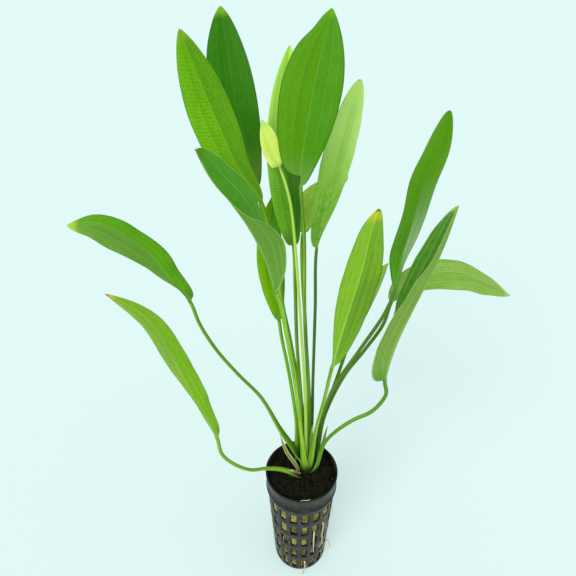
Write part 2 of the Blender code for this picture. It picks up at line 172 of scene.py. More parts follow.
# %% Helpers for nodes
def plug(tree, value, socket):
    """Give a socket a value, or a link if the value is another node's output."""
    if isinstance(value, bpy.types.NodeSocket):
        tree.links.new(value, socket)
    elif value is not None:
        socket.default_value = value


def calc(tree, operation, a, b=None, c=None, clamp=False):
    """A Math node's output."""
    node = tree.nodes.new("ShaderNodeMath")
    node.operation = operation
    node.use_clamp = clamp
    for value, socket in zip((a, b, c), node.inputs):
        plug(tree, value, socket)
    return node.outputs[0]


def ramp(tree, value, low, high, out_low=0.0, out_high=1.0):
    """A smooth step from out_low at low to out_high at high."""
    node = tree.nodes.new("ShaderNodeMapRange")
    node.interpolation_type = "SMOOTHSTEP"
    for item, name in ((value, "Value"), (low, "From Min"), (high, "From Max"),
                       (out_low, "To Min"), (out_high, "To Max")):
        plug(tree, item, node.inputs[name])
    return node.outputs[0]


def blend(tree, share, a, b, kind="MIX"):
    """A colour between a and b."""
    node = tree.nodes.new("ShaderNodeMix")
    node.data_type = "RGBA"
    node.blend_type = kind
    for value, index in ((share, 0), (a, 6), (b, 7)):
        plug(tree, value, node.inputs[index])
    return node.outputs[2]


def cloud(tree, place, size, detail=2.0, rough=0.5):
    """Smooth random grey, whose spots are about 1 / size across."""
    node = tree.nodes.new("ShaderNodeTexNoise")
    for value, name in ((place, "Vector"), (size, "Scale"), (detail, "Detail"), (rough, "Roughness")):
        plug(tree, value, node.inputs[name])
    return node.outputs[0]


def point(tree, x, y, z):
    """A vector from three values."""
    node = tree.nodes.new("ShaderNodeCombineXYZ")
    for value, socket in zip((x, y, z), node.inputs):
        plug(tree, value, socket)
    return node.outputs[0]


def new_group(name, inputs, outputs):
    """An empty node group with sockets of (name, kind, value) each. Gives it, its inputs and its outputs."""
    group = bpy.data.node_groups.new(name, "ShaderNodeTree")
    for label, kind, value in inputs:
        socket = group.interface.new_socket(label, in_out="INPUT", socket_type="NodeSocket" + kind)
        socket.default_value = value
    for label, kind in outputs:
        group.interface.new_socket(label, in_out="OUTPUT", socket_type="NodeSocket" + kind)
    given = group.nodes.new("NodeGroupInput").outputs
    made = group.nodes.new("NodeGroupOutput").inputs
    return group, given, made


def place_group(tree, group, values):
    """Put a group in a material, with a value for each of its inputs by label."""
    node = tree.nodes.new("ShaderNodeGroup")
    node.node_tree = group
    for label, value in values.items():
        plug(tree, value, node.inputs[label])
    return node.outputs


def stored(tree, name):
    """The outputs of an attribute that the mesh carries."""
    node = tree.nodes.new("ShaderNodeAttribute")
    node.attribute_name = name
    return node.outputs


def relief(tree, height, strength, depth, shader):
    """Let the light show a height on the surface. Its depth is in millimetres."""
    bump = tree.nodes.new("ShaderNodeBump")
    bump.inputs["Strength"].default_value = strength
    bump.inputs["Distance"].default_value = depth * MM
    tree.links.new(height, bump.inputs["Height"])
    tree.links.new(bump.outputs["Normal"], shader.inputs["Normal"])


print("helpers: calc, ramp, blend, cloud, point, new_group, place_group, stored, relief")

# %% [markdown]
# A sword plant's leaf has a thick midrib and two or three finer veins on each
# side, which run from the base to the tip in long arcs. Between them lie many
# short cross-veins, like the rungs of a ladder. All of it follows the leaf, so the
# pattern is drawn in the leaf's own coordinates. Each leaf mesh carries them as an
# attribute called blade: how far along the blade a point is (below 0 on the
# stalk), how far across it is (below 0 on the left half), and how wide that half is
# in millimetres there. On the stalk the third number is the height above its foot
# instead. The group turns them into masks.

# %% The pattern of the veins
MASKS = ("Midrib", "Long veins", "Rungs", "Margin", "Streak noise")
MIDRIB_SHARE = 0.12
VEIN_PLACES = (0.46, 0.76)
VEIN_WEIGHTS = (1.0, 0.45)


def leaf_cloud(tree, along_mm, across, per_mm, per_half, slice_at, detail=2.0, rough=0.5):
    """Smooth random grey in a leaf's own coordinates, with one size along it and one across it."""
    lengthwise = calc(tree, "MULTIPLY", along_mm, per_mm)
    crosswise = calc(tree, "MULTIPLY", across, per_half)
    return cloud(tree, point(tree, lengthwise, crosswise, slice_at), 1.0, detail, rough)


vein_group, given, made = new_group(
    "blade_veins",
    [("Blade", "Vector", (0, 0, 0)), ("Blade length", "Float", 90.0), ("Rung gap", "Float", 1.4)],
    [(label, "Float") for label in MASKS])
tree = vein_group
split = tree.nodes.new("ShaderNodeSeparateXYZ")
tree.links.new(given["Blade"], split.inputs[0])
along, across, half_wide = split.outputs
out = calc(tree, "ABSOLUTE", across)
along_mm = calc(tree, "MULTIPLY", along, given["Blade length"])
out_mm = calc(tree, "MULTIPLY", out, half_wide)

midrib = ramp(tree, out, 0.02, 0.075, 1, 0)
on_blade = ramp(tree, along, -0.002, 0.01)
long_veins = None
for place, weight in zip(VEIN_PLACES, VEIN_WEIGHTS):
    away = calc(tree, "MULTIPLY", calc(tree, "ABSOLUTE", calc(tree, "SUBTRACT", out, place)), half_wide)
    line = ramp(tree, away, 0.05, 0.36, weight, 0)
    long_veins = line if long_veins is None else calc(tree, "MAXIMUM", long_veins, line)

wobble = leaf_cloud(tree, along_mm, across, 0.25, 3.0, 0.0)
slant = calc(tree, "MULTIPLY_ADD", out_mm, -0.45, along_mm)
rung_place = calc(tree, "MULTIPLY_ADD", wobble, 3.0, slant)
rung = calc(tree, "FRACT", calc(tree, "DIVIDE", rung_place, given["Rung gap"]))
rung = calc(tree, "ABSOLUTE", calc(tree, "MULTIPLY_ADD", rung, 2.0, -1.0))
patches = leaf_cloud(tree, along_mm, across, 0.5, 9.0, 3.0)
rungs = calc(tree, "MULTIPLY", calc(tree, "POWER", rung, 2.2), ramp(tree, patches, 0.3, 0.62, 0.2, 1))
rungs = calc(tree, "MULTIPLY", rungs, ramp(tree, out, 0.05, 0.14))

edge_mm = calc(tree, "MULTIPLY", calc(tree, "SUBTRACT", 1.0, out), half_wide)
margin = ramp(tree, edge_mm, 0.1, 0.6, 1, 0)
streaks = leaf_cloud(tree, along_mm, across, 0.06, 14.0, 7.0, 3.0)
for label, mask in zip(MASKS, (midrib, long_veins, rungs, margin)):
    plug(tree, calc(tree, "MULTIPLY", mask, on_blade), made[label])
plug(tree, streaks, made["Streak noise"])
print("vein group:", len(tree.nodes), "nodes")

# %% [markdown]
# The second leaf group paints. The two halves of a blade catch the light
# differently, and its underside is paler than its upper face, so it takes four
# greens. The veins are lighter than what lies between them, pale spots give a
# mottling that is partly the leaf's own and partly a painted sheen, the tip is
# yellow on some leaves, and on old leaves its last point is brown. The stalk is
# painted lighter on its left side and darker on its right, as painted light and
# shade, with random darker stripes. Its foot has a pale, thin rim and is painted
# darker where it enters the soil, as painted shade among the crowded feet.

# %% The look of a leaf
PAIRS = {"upper": ("Left", "Right"), "under": ("Left under", "Right under"),
         "stalk": ("Stalk", "Stalk shade")}


@dataclass
class Look:
    """Colours of one leaf, as a screen shows them.

    Pairs are its left and right half, and for the stalk its painted lit side and painted shaded side.
    """

    upper: tuple = ("#5a9a12", "#5a9a12")
    under: tuple = ("#86b34a", "#86b34a")
    base: str = "#6fa82f"
    base_reach: float = 0.12
    vein: str = "#a9cf5c"
    vein_strength: float = 0.35
    rung: str = "#3c7a08"
    rung_strength: float = 0.35
    rung_gap: float = 1.5
    edge: str = "#3f7a10"
    edge_strength: float = 0.5
    tip: str = "#b4d24a"
    tip_length: float = 5.0
    point: float = 0.0
    mottle: float = 0.15
    streaks: float = 0.25
    stalk: tuple = ("#a6dc3c", "#4f8a10")
    foot: str = "#5c9410"
    sheath_edge: str = "#ccdc90"


def settings(look):
    """A look by the labels of the paint group, with colours as light. The rung gap is the vein group's."""
    values = {}
    for field, value in vars(look).items():
        if field in PAIRS:
            values |= zip(PAIRS[field], map(light_of, value))
        elif field != "rung_gap":
            label = field.replace("_", " ").capitalize()
            values[label] = light_of(value) if isinstance(value, str) else value
    return values


print("a leaf is painted with", len(settings(Look())), "settings")

# %% The colours of a leaf
paint_group, given, made = new_group(
    "leaf_paint",
    [("Blade", "Vector", (0, 0, 0)), ("Under", "Float", 0.0), ("Blade length", "Float", 90.0),
     ("Sheath reach", "Float", 20.0), *((label, "Float", 0.0) for label in MASKS),
     *((label, "Color" if isinstance(value, tuple) else "Float", value)
       for label, value in settings(Look()).items())],
    [("Color", "Color"), ("Roughness", "Float"), ("Height", "Float")])
tree = paint_group
split = tree.nodes.new("ShaderNodeSeparateXYZ")
tree.links.new(given["Blade"], split.inputs[0])
along, across, half_wide = split.outputs
along_mm = calc(tree, "MULTIPLY", along, given["Blade length"])
to_tip = calc(tree, "SUBTRACT", given["Blade length"], along_mm)
right = ramp(tree, across, -0.06, 0.06)
upper = blend(tree, right, given["Left"], given["Right"])
under = blend(tree, right, given["Left under"], given["Right under"])
colour = blend(tree, given["Under"], upper, under)
base_share = ramp(tree, along, 0.0, given["Base reach"], 1, 0)
colour = blend(tree, base_share, colour, given["Base"])

# Pale spots: partly the leaf's own mottling and partly a painted sheen.
spots = leaf_cloud(tree, along_mm, across, 0.28, 3.2, 1.0, 4.0, 0.6)
spots = ramp(tree, spots, 0.3, 0.75)
lighter = calc(tree, "MULTIPLY", spots, given["Mottle"])
colour = blend(tree, lighter, colour, given["Vein"])
dark_streak = calc(tree, "MULTIPLY", ramp(tree, given["Streak noise"], 0.35, 0.7, 1, 0), given["Streaks"])
colour = blend(tree, dark_streak, colour, light_of("#aab89c"), "MULTIPLY")
more_below = calc(tree, "MULTIPLY_ADD", given["Under"], 0.9, 0.6)
rib_strength = calc(tree, "MULTIPLY", given["Vein strength"], more_below, clamp=True)
for mask, strength, tint in (("Rungs", given["Rung strength"], "Rung"),
                             ("Long veins", given["Vein strength"], "Vein"),
                             ("Midrib", rib_strength, "Vein"), ("Margin", given["Edge strength"], "Edge")):
    colour = blend(tree, calc(tree, "MULTIPLY", given[mask], strength), colour, given[tint])

tip_noise = calc(tree, "MULTIPLY_ADD", given["Streak noise"], 4.0, -2.0)
tip_place = calc(tree, "ADD", to_tip, tip_noise)
tip_share = ramp(tree, tip_place, calc(tree, "MULTIPLY", given["Tip length"], 0.3), given["Tip length"], 1, 0)
colour = blend(tree, tip_share, colour, given["Tip"])
point_share = calc(tree, "MULTIPLY", ramp(tree, to_tip, 0.5, 1.5, 1, 0), given["Point"])
colour = blend(tree, point_share, colour, light_of("#5a3a20"))

foot_mm = half_wide
stripes = leaf_cloud(tree, foot_mm, across, 0.03, 4.5, calc(tree, "MULTIPLY", given["Under"], 4.0))
# Painted light and shade: the stalk's left side takes its lit green and its right side its shaded green, with
# random stripes of the shaded green.
stalk_share = calc(tree, "MULTIPLY_ADD", ramp(tree, across, -0.6, 0.8), 0.5,
                   ramp(tree, stripes, 0.4, 0.6, 0, 0.75), clamp=True)
stalk = blend(tree, stalk_share, given["Stalk"], given["Stalk shade"])
near_foot = ramp(tree, foot_mm, 5.0, given["Sheath reach"], 1, 0)
stalk = blend(tree, near_foot, stalk, given["Foot"])
sheath_rim = calc(tree, "MULTIPLY", ramp(tree, calc(tree, "ABSOLUTE", across), 0.72, 0.97), near_foot)
stalk = blend(tree, sheath_rim, stalk, given["Sheath edge"])
# Painted shade: just above the soil, where the feet crowd together, the stalk is darkened to nearly black.
stalk = blend(tree, ramp(tree, foot_mm, 8.0, 19.0, 0.85, 0), stalk, light_of("#1c2c08"))
colour = blend(tree, ramp(tree, along, -0.015, 0.0, 1, 0), colour, stalk)
plug(tree, colour, made["Color"])

rough = calc(tree, "MULTIPLY_ADD", given["Rungs"], -0.06, 0.42)
rough = calc(tree, "MULTIPLY_ADD", spots, 0.12, rough)
plug(tree, calc(tree, "MULTIPLY_ADD", given["Under"], 0.12, rough), made["Roughness"])
raised_below = calc(tree, "MULTIPLY_ADD", given["Under"], 1.6, -0.8)
spot_height = calc(tree, "MULTIPLY", spots, 0.4)
plug(tree, calc(tree, "MULTIPLY_ADD", given["Rungs"], raised_below, spot_height), made["Height"])
print("paint group:", len(tree.nodes), "nodes")

# %% [markdown]
# A leaf lets some light through, which makes it glow when it is lit from behind.
# A Translucent shader mixed into the surface does that for a thin sheet. Each leaf
# gets a material of its own, because on the real plant no two leaves have the same
# green.

# %% A leaf's material
GLOW_SHARE = 0.25


def leaf_material(name, look, blade_length, sheath_reach):
    """The material of one leaf."""
    material, tree, shader = new_material(name, Specular_IOR_Level=0.1)
    blade = stored(tree, "blade")["Vector"]
    masks = place_group(tree, vein_group, {"Blade": blade, "Blade length": blade_length,
                                           "Rung gap": look.rung_gap})
    painted = place_group(tree, paint_group, {
        "Blade": blade, "Under": stored(tree, "under")["Fac"], "Blade length": blade_length,
        "Sheath reach": sheath_reach, **{label: masks[label] for label in MASKS}, **settings(look)})
    relief(tree, painted["Height"], 0.5, 0.15, shader)
    tree.links.new(painted["Color"], shader.inputs["Base Color"])
    tree.links.new(painted["Roughness"], shader.inputs["Roughness"])
    glow = tree.nodes.new("ShaderNodeBsdfTranslucent")
    tree.links.new(painted["Color"], glow.inputs["Color"])
    both = tree.nodes.new("ShaderNodeMixShader")
    both.inputs[0].default_value = GLOW_SHARE
    tree.links.new(shader.outputs["BSDF"], both.inputs[1])
    tree.links.new(glow.outputs["BSDF"], both.inputs[2])
    tree.links.new(both.outputs["Shader"], tree.nodes["Material Output"].inputs["Surface"])
    return material


print("the glow is", GLOW_SHARE, "of a leaf's surface")

# %% [markdown]
# Each leaf is built along its own midrib. The route gives points from the foot of
# the stalk to the tip of the blade, and a Catmull-Rom curve runs smoothly through
# them. The outline of each half is a power of a sine, because two numbers then say
# where it is widest and how full its shoulders are. Bumps, each with its half, its
# place, its height in millimetres and its length, make a margin less regular. The
# lowest two centimetres or so of a stalk are a sheath that clasps the younger stalks
# inside it. The feet turn in towards the rootstock and go down into the soil.

# %% Routes and outlines
ROUTE_STEPS = 24
CROWN = (3.0, 4.5)
BURIED_DEPTH = 6.0
BURIED_PULL = 0.65


@dataclass
class Leaf:
    """One leaf, in millimetres. Pairs are its left and right half, seen on the upper face with the tip up.

    The blade starts at the route's point number blade_from, and at 0 there is no stalk.
    """

    route: tuple
    blade_from: float
    half_width: tuple
    belly: tuple
    shoulder: tuple
    tip_fullness: float
    facing: tuple
    fold: tuple
    foot_radius: float = 1.5
    stalk_radius: float = 0.95
    wave: tuple = (0.0, 1.0)
    start: tuple = (0.0, 0.0)
    bumps: tuple = ()
    sheath_half: float = 3.0
    sheath_reach: float = 26.0
    foot_pull: float = 0.3
    look: Look = None


def unit(vectors):
    """Vectors, one a row, scaled to length 1."""
    return vectors / np.linalg.norm(vectors, axis=-1, keepdims=True)


def smooth_route(points):
    """A centripetal Catmull-Rom curve through points, and its length at each of its own points."""
    p = np.array(points, float)
    p = np.vstack([2 * p[0] - p[1], p, 2 * p[-1] - p[-2]])
    knots = np.append(0, np.cumsum(np.sqrt(np.linalg.norm(np.diff(p, axis=0), axis=1))))
    curve = []
    for i in range(1, len(p) - 2):
        k0, k1, k2, k3 = knots[i - 1:i + 3]
        for k in np.linspace(k1, k2, ROUTE_STEPS, endpoint=False):
            a1 = p[i - 1] + (p[i] - p[i - 1]) * (k - k0) / (k1 - k0)
            a2 = p[i] + (p[i + 1] - p[i]) * (k - k1) / (k2 - k1)
            a3 = p[i + 1] + (p[i + 2] - p[i + 1]) * (k - k2) / (k3 - k2)
            b1 = a1 + (a2 - a1) * (k - k0) / (k2 - k0)
            b2 = a2 + (a3 - a2) * (k - k1) / (k3 - k1)
            curve.append(b1 + (b2 - b1) * (k - k1) / (k2 - k1))
    curve = np.array([*curve, p[-2]])
    lengths = np.append(0, np.cumsum(np.linalg.norm(np.diff(curve, axis=0), axis=1)))
    return curve, lengths


def read_at(places, lengths, rows):
    """Rows of numbers that belong to lengths, read at other places."""
    return np.stack([np.interp(places, lengths, column) for column in np.array(rows, float).T], axis=-1)


def spread(rows, t):
    """Rows spread evenly from 0 to 1, read at t."""
    return read_at(t, np.linspace(0, 1, len(rows)), rows)


def rooted(leaf):
    """A leaf's route, led on into the soil. A strip that has no stalk keeps its own."""
    x, y, z = leaf.route[0]
    if not leaf.blade_from:
        return leaf.route
    surface, buried = [(x + pull * (CROWN[0] - x), y + pull * (CROWN[1] - y))
                       for pull in (leaf.foot_pull, BURIED_PULL)]
    return ((*buried, z - BURIED_DEPTH), (*surface, z), *leaf.route[1:])


def half_outline(t, belly, shoulder, tip_fullness):
    """Width of a blade's half from 0 to 1, along its length t from 0 to 1."""
    swell = np.sin(math.pi * t ** (math.log(0.5) / math.log(belly))).clip(0, 1)
    return swell ** (shoulder + (tip_fullness - shoulder) * t)


print("widest part of a blade half:", half_outline(np.array([0.2, 0.4, 0.6, 0.8]), 0.4, 0.5, 0.8).round(2))

# %% [markdown]
# Across the blade the points aren't evenly spread. Three stand close together at
# each vein, and the innermost makes a real ridge on the underside and a fine groove
# on the upper face, without a heavy mesh. The same points run round the stalk as
# a circle. Near its foot the circle becomes a wide, hollowed sheath that clasps
# the next stalk. It faces the middle of the plant, whichever way its blade faces, so
# the stalk turns on its way up.

# %% The points of one leaf
BLADE_RINGS = 84
STALK_RINGS = 56
SHEET = 0.36
FLARE = 0.1
TIP_RIB = 0.25
VEIN_HALF = 0.3
WRAP_RADIUS = 4.0
VEIN_COLUMNS = [5, 9]
TWIST_SHARE, TAPER_SHARE = 0.6, 0.4


def across_half(rib, width, gather):
    """Distance of each point from the midrib and its share of the width, for all rings of one half."""
    near = np.minimum(1.6 * rib, 0.5 * width)
    rest = width - near
    step = np.minimum(VEIN_HALF, 0.05 * width)
    share = rest / (1 - MIDRIB_SHARE)
    columns = [(0 * rib, 0 * rib)]
    columns += [(k * near, k * MIDRIB_SHARE + 0 * rib) for k in (0.33, 0.62, 1.0)]
    for place in (0.25, VEIN_PLACES[0], 0.58, VEIN_PLACES[1], 0.86, 0.95, 1.0):
        shifts = (-1, 0, 1) if place in VEIN_PLACES else (0,)
        for shift in shifts:
            part = ((place - MIDRIB_SHARE) / (1 - MIDRIB_SHARE)) ** gather
            x = near + rest * part + shift * step * part
            columns.append((x, place + shift * step / np.maximum(share, 1e-6)))
    return np.stack([c[0] for c in columns], 1), np.stack([c[1] for c in columns], 1).clip(0, 1)


def half_width_at(leaf, half, t):
    """Width of the left (0) or right (1) half along the blade, with its bumps."""
    begun = np.clip((t - leaf.start[half]) / (1 - leaf.start[half]), 0, 1)
    outline = half_outline(begun, leaf.belly[half], leaf.shoulder[half], leaf.tip_fullness)
    width = leaf.half_width[half] * outline
    for where, place, height, length in leaf.bumps:
        swell = height * np.exp(-(((t - place) / length) ** 2))
        width = width + (where == half) * swell * np.clip(width / 3, 0, 1)
    return width


def facing_crown(leaf, places, blade_start, forward, normal):
    """Normals of a stalk, turned so that its foot faces the middle of the plant."""
    inward = np.array([CROWN[0] - leaf.route[0][0], CROWN[1] - leaf.route[0][1], 0])
    inward = inward - (inward @ forward[0]) * forward[0]
    turned = math.atan2(np.cross(normal[0], inward) @ forward[0], normal[0] @ inward)
    twist = turned * (1 - np.clip(places / (TWIST_SHARE * blade_start), 0, 1)) ** 2
    return normal * np.cos(twist)[:, None] + np.cross(forward, normal) * np.sin(twist)[:, None]


def leaf_shell(leaf, seed):
    """Points of a leaf as rings, with their blade coordinates and their underside mask."""
    curve, lengths = smooth_route(rooted(leaf))
    has_stalk = leaf.blade_from > 0
    blade_start = np.interp(ROUTE_STEPS * (leaf.blade_from + has_stalk), range(len(lengths)), lengths)
    stalk_places = np.linspace(0, blade_start, STALK_RINGS, endpoint=False) if has_stalk else []
    t = (1 - np.cos(np.linspace(0, math.pi, BLADE_RINGS))) / 2
    places = np.append(stalk_places, blade_start + (lengths[-1] - blade_start) * t)
    t = np.append(np.zeros(len(stalk_places)), t)

    middle = read_at(places, lengths, curve)
    forward = unit(read_at(places, lengths, np.gradient(curve, lengths, axis=0)))
    facing = spread(leaf.facing, t)
    normal = unit(facing - (facing * forward).sum(axis=-1, keepdims=True) * forward)
    if has_stalk:
        normal = facing_crown(leaf, places, blade_start, forward, normal)
    side = np.cross(forward, normal)

    tapered = 0.85 * leaf.stalk_radius + 0.15 * leaf.foot_radius
    stalk_part = np.interp(places, [0, TAPER_SHARE * blade_start + 1e-6, blade_start + 1e-6],
                           [leaf.foot_radius, tapered, leaf.stalk_radius])
    rib = np.where(t > 0, leaf.stalk_radius + (TIP_RIB - leaf.stalk_radius) * t ** 0.5, stalk_part)
    flat = np.clip(t / FLARE, 0, 1) ** 0.5
    raised = np.radians(spread(leaf.fold, t))
    ripple = leaf.wave[0] * np.sin(math.tau * leaf.wave[1] * t) * np.sin(math.pi * t)
    clasp = has_stalk * np.exp(-((places / leaf.sheath_reach) ** 2))[:, None]

    halves = []
    for i, hand in enumerate((-1, 1)):
        width = half_width_at(leaf, i, t)
        x, share = across_half(rib, width, 1 + 1.6 * np.exp(-((t / 0.1) ** 2)))
        turn = np.linspace(math.pi / 2, 0, x.shape[1])[None, :]
        q = x / np.maximum(width, 1e-6)[:, None]
        rough_edge = np.array([noise.noise(Vector((p * 0.09, hand * 5.0, seed * 3.7))) for p in places])
        lift = width * np.sin(raised[:, i]) - hand * ripple + 1.1 * rough_edge * np.sin(math.pi * t)
        bulge = 0.05 * width[:, None] * np.sin(math.pi * q)
        up = lift[:, None] * q + bulge
        crest = np.zeros(x.shape[1])
        crest[VEIN_COLUMNS] = 1
        thick = 0.5 * SHEET * (1 - q ** 6).clip(0, 1) ** 0.5
        ridge = rib[:, None] * np.sqrt(np.clip(1 - (x / np.maximum(rib, 1e-6)[:, None]) ** 2, 0, 1))
        round_share = (1 - flat)[:, None]
        grooves = np.cos(turn * 6 + seed) * 0.05
        radius = rib[:, None] * (1 + grooves * (t == 0)[:, None])
        wide = radius + (leaf.sheath_half - radius) * clasp
        out = round_share * wide * np.cos(turn) + x * np.cos(raised[:, i])[:, None]
        groove = 0.10 * crest * (q < 1)
        rounded = round_share * radius * np.sin(turn)
        top = rounded * (1 - 1.15 * clasp) + flat[:, None] * (thick - groove)
        low = rounded * (0.2 * clasp - 1) - flat[:, None] * (thick + 0.85 * ridge + 2 * groove)
        curl = round_share * clasp * (wide * np.cos(turn)) ** 2 / (2 * WRAP_RADIUS)
        offset = side[:, None, :] * (hand * out)[..., None]
        upper = middle[:, None, :] + offset + normal[:, None, :] * (top + up + curl)[..., None]
        under = middle[:, None, :] + offset + normal[:, None, :] * (low + up + curl)[..., None]
        along = np.where(t > 0, t, places / max(blade_start, 1e-6) - 1)
        spot = np.where(t[:, None] > 0, share, np.cos(turn))
        third = np.where(t > 0, width, places)
        blade = np.stack([np.broadcast_to(along[:, None], x.shape), hand * spot,
                          np.broadcast_to(third[:, None], x.shape)], axis=-1)
        halves.append((upper, under, blade))

    (lu, ln, lb), (ru, rn, rb) = halves
    rings = np.concatenate([lu[:, ::-1], ru[:, 1:], rn[:, -2::-1], ln[:, 1:-1]], axis=1)
    blade = np.concatenate([lb[:, ::-1], rb[:, 1:], rb[:, -2::-1], lb[:, 1:-1]], axis=1)
    count = lu.shape[1] + ru.shape[1] - 1
    below = np.zeros(rings.shape[:2])
    below[:, count:] = 1
    below[:, [0, count - 1]] = 0.5
    return rings, blade, below, lengths[-1] - blade_start


def closed_loft(rings):
    """Faces that join rings of points, with a fan at each end."""
    rows, count = rings.shape[:2]
    grid = np.arange(rows * count).reshape(rows, count)
    after = np.roll(grid, -1, axis=1)
    faces = np.stack([grid[:-1], after[:-1], after[1:], grid[1:]], axis=-1).reshape(-1, 4).tolist()
    return faces + [grid[0, ::-1].tolist(), grid[-1].tolist()]


def add_piece(name, points, faces, material, replaced=(), attributes=()):
    """A smooth piece from points in millimetres. It rides with the plant and may replace plain parts."""
    mesh = bpy.data.meshes.new(name)
    mesh.from_pydata((np.asarray(points, float).reshape(-1, 3) * MM).tolist(), [], faces)
    mesh.validate()
    for label, kind, values in attributes:
        field = "vector" if kind == "FLOAT_VECTOR" else "value"
        flat_values = np.asarray(values, np.float32).ravel()
        mesh.attributes.new(label, kind, "POINT").data.foreach_set(field, flat_values)
    mesh.materials.append(material)
    mesh.shade_smooth()
    piece = put(name, mesh)
    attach(piece, "root")
    if replaced:
        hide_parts(*replaced)


print("points round one ring:", 2 * (2 * across_half(np.ones(1), np.ones(1), 1)[0].shape[1] - 1) - 2)

# %% [markdown]
# The leaves follow, each with the route of its plain part. They are written in
# the order in which they stand from the back to the front. Their looks were read
# off the plant: young leaves are yellow-green, old ones are dark with yellow
# tips, and two turn their undersides to the viewer.

# %% The leaves at the back
LEAVES = {
    "leaf_back_left": Leaf(
        route=((0.5, 10.8, 90), (0, 14, 131), (-7, 21, 178), (-14, 28, 213), (-22, 37, 252),
               (-25, 42, 269), (-30, 48, 286), (-35, 56, 306), (-39, 65, 327), (-42, 74, 349)),
        blade_from=5, half_width=(13, 11.5), belly=(0.5, 0.52), shoulder=(0.6, 0.6), tip_fullness=0.66,
        facing=((0.1, -1, 0.1), (0.1, -1, 0.3)), fold=((15, 18),),
        look=Look(upper=("#378805", "#3a8705"), base="#76a53e", base_reach=0.3, vein="#69a53a",
                  vein_strength=0.35, rung_strength=0.22, edge="#245c08", edge_strength=0.8,
                  tip="#80bd24", tip_length=6, streaks=0.3)),
    "leaf_back_short": Leaf(
        route=((4.9, 6.7, 90), (4, 8, 145), (1, 15, 194), (-1, 26, 250), (4, 38, 256),
               (13, 55, 260), (25, 72, 261)),
        blade_from=3, half_width=(11.5, 8), belly=(0.42, 0.42), shoulder=(0.5, 0.5), tip_fullness=0.9,
        facing=((-0.4, -0.5, 1), (-0.3, -0.5, 1)), fold=((15, 15),),
        # Its bright yellow-green is partly its own and partly painted light, raised against the shade of
        # leaf_centre_broad.
        look=Look(upper=("#b4ec48", "#b4ec48"), base="#b8e858", vein="#cfe88c", mottle=0.4)),
    "leaf_centre_back": Leaf(
        route=((1, 6.6, 90), (-1, 6, 148), (-4, 11, 190), (-5, 16, 221), (-6, 20, 246),
               (-9, 25, 271), (-11, 32, 301), (-10, 37, 320), (-8, 42, 336)),
        blade_from=4, half_width=(10.5, 8), belly=(0.42, 0.5), shoulder=(0.5, 0.4), tip_fullness=0.65,
        facing=((0.25, -1, 0.1), (0.2, -1, 0.2)), fold=((25, 35),),
        # Its right half is painted dark as shade under leaf_centre_broad, and its long pale tip colour is
        # painted light on the strip beside that leaf.
        look=Look(upper=("#7ac62a", "#2a7005"), base="#4c8c10", vein="#8fc05a", rung_strength=0.5,
                  edge="#8cc04a", tip="#c8f86a", tip_length=70, stalk=("#96c43c", "#3c6c10"))),
    "leaf_centre_right": Leaf(
        route=((4.3, 11.1, 90), (6, 10, 124), (6, 12, 161), (6, 16, 210), (6, 21, 244),
               (11, 27, 268), (15, 33, 286), (21, 42, 307), (26, 50, 320)),
        blade_from=4, half_width=(9.2, 7.5), belly=(0.5, 0.6), shoulder=(0.42, 0.7), tip_fullness=0.56,
        bumps=((1, 0.44, 0.9, 0.02),),
        facing=((0.2, -1, 0.1), (0.3, -1, 0.2)), fold=((18, 30),), stalk_radius=0.8,
        # Its pale upper part and its pale spots stand for a painted sheen.
        look=Look(upper=("#a8ec30", "#84d208"), base="#68b000", base_reach=0.8, vein="#b5dc7e",
                  rung_strength=0.15, edge="#a6d45c", tip="#c4ec80", tip_length=62, point=0.2,
                  mottle=0.55, stalk=("#6f9a44", "#3f6a20"))),
    "leaf_far_right": Leaf(
        route=((9.8, 6.5, 90), (14, 9, 132), (25, 13, 162), (36, 17, 178), (46, 22, 193),
               (50, 26, 206), (57, 30, 215), (72, 35, 219), (89, 38, 218), (107, 40, 210),
               (124, 41, 200)),
        blade_from=5, half_width=(8.2, 14.6), belly=(0.4, 0.5), shoulder=(0.6, 0.8), tip_fullness=0.75,
        facing=((-0.3, -0.5, 1), (0.1, -0.35, 1)), fold=((10, 10),),
        look=Look(upper=("#9dce53", "#9ed54c"), base="#6aa428", vein="#b4d688", vein_strength=0.6,
                  edge="#9cc86a", tip="#c9d97c", tip_length=7, point=1.0, mottle=0.4, streaks=0.4,
                  stalk=("#86b050", "#4c7c20"))),
    "leaf_right_inner": Leaf(
        route=((7.6, 9.5, 90), (12, 13, 122), (20, 19, 148), (28, 25, 179), (33, 29, 198),
               (40, 33, 213), (48, 37, 225)),
        blade_from=3, half_width=(8, 5.5), belly=(0.5, 0.5), shoulder=(0.6, 0.6), tip_fullness=0.9,
        facing=((-0.4, -0.8, 0.4), (-0.4, -0.8, 0.5)), fold=((15, 15),),
        look=Look(upper=("#9ccf48", "#9ccf48"), vein="#b6dc70", tip="#a4cc50",
                  stalk=("#6f9c3c", "#3c6c18"))),
}
print(len(LEAVES), "leaves at the back")

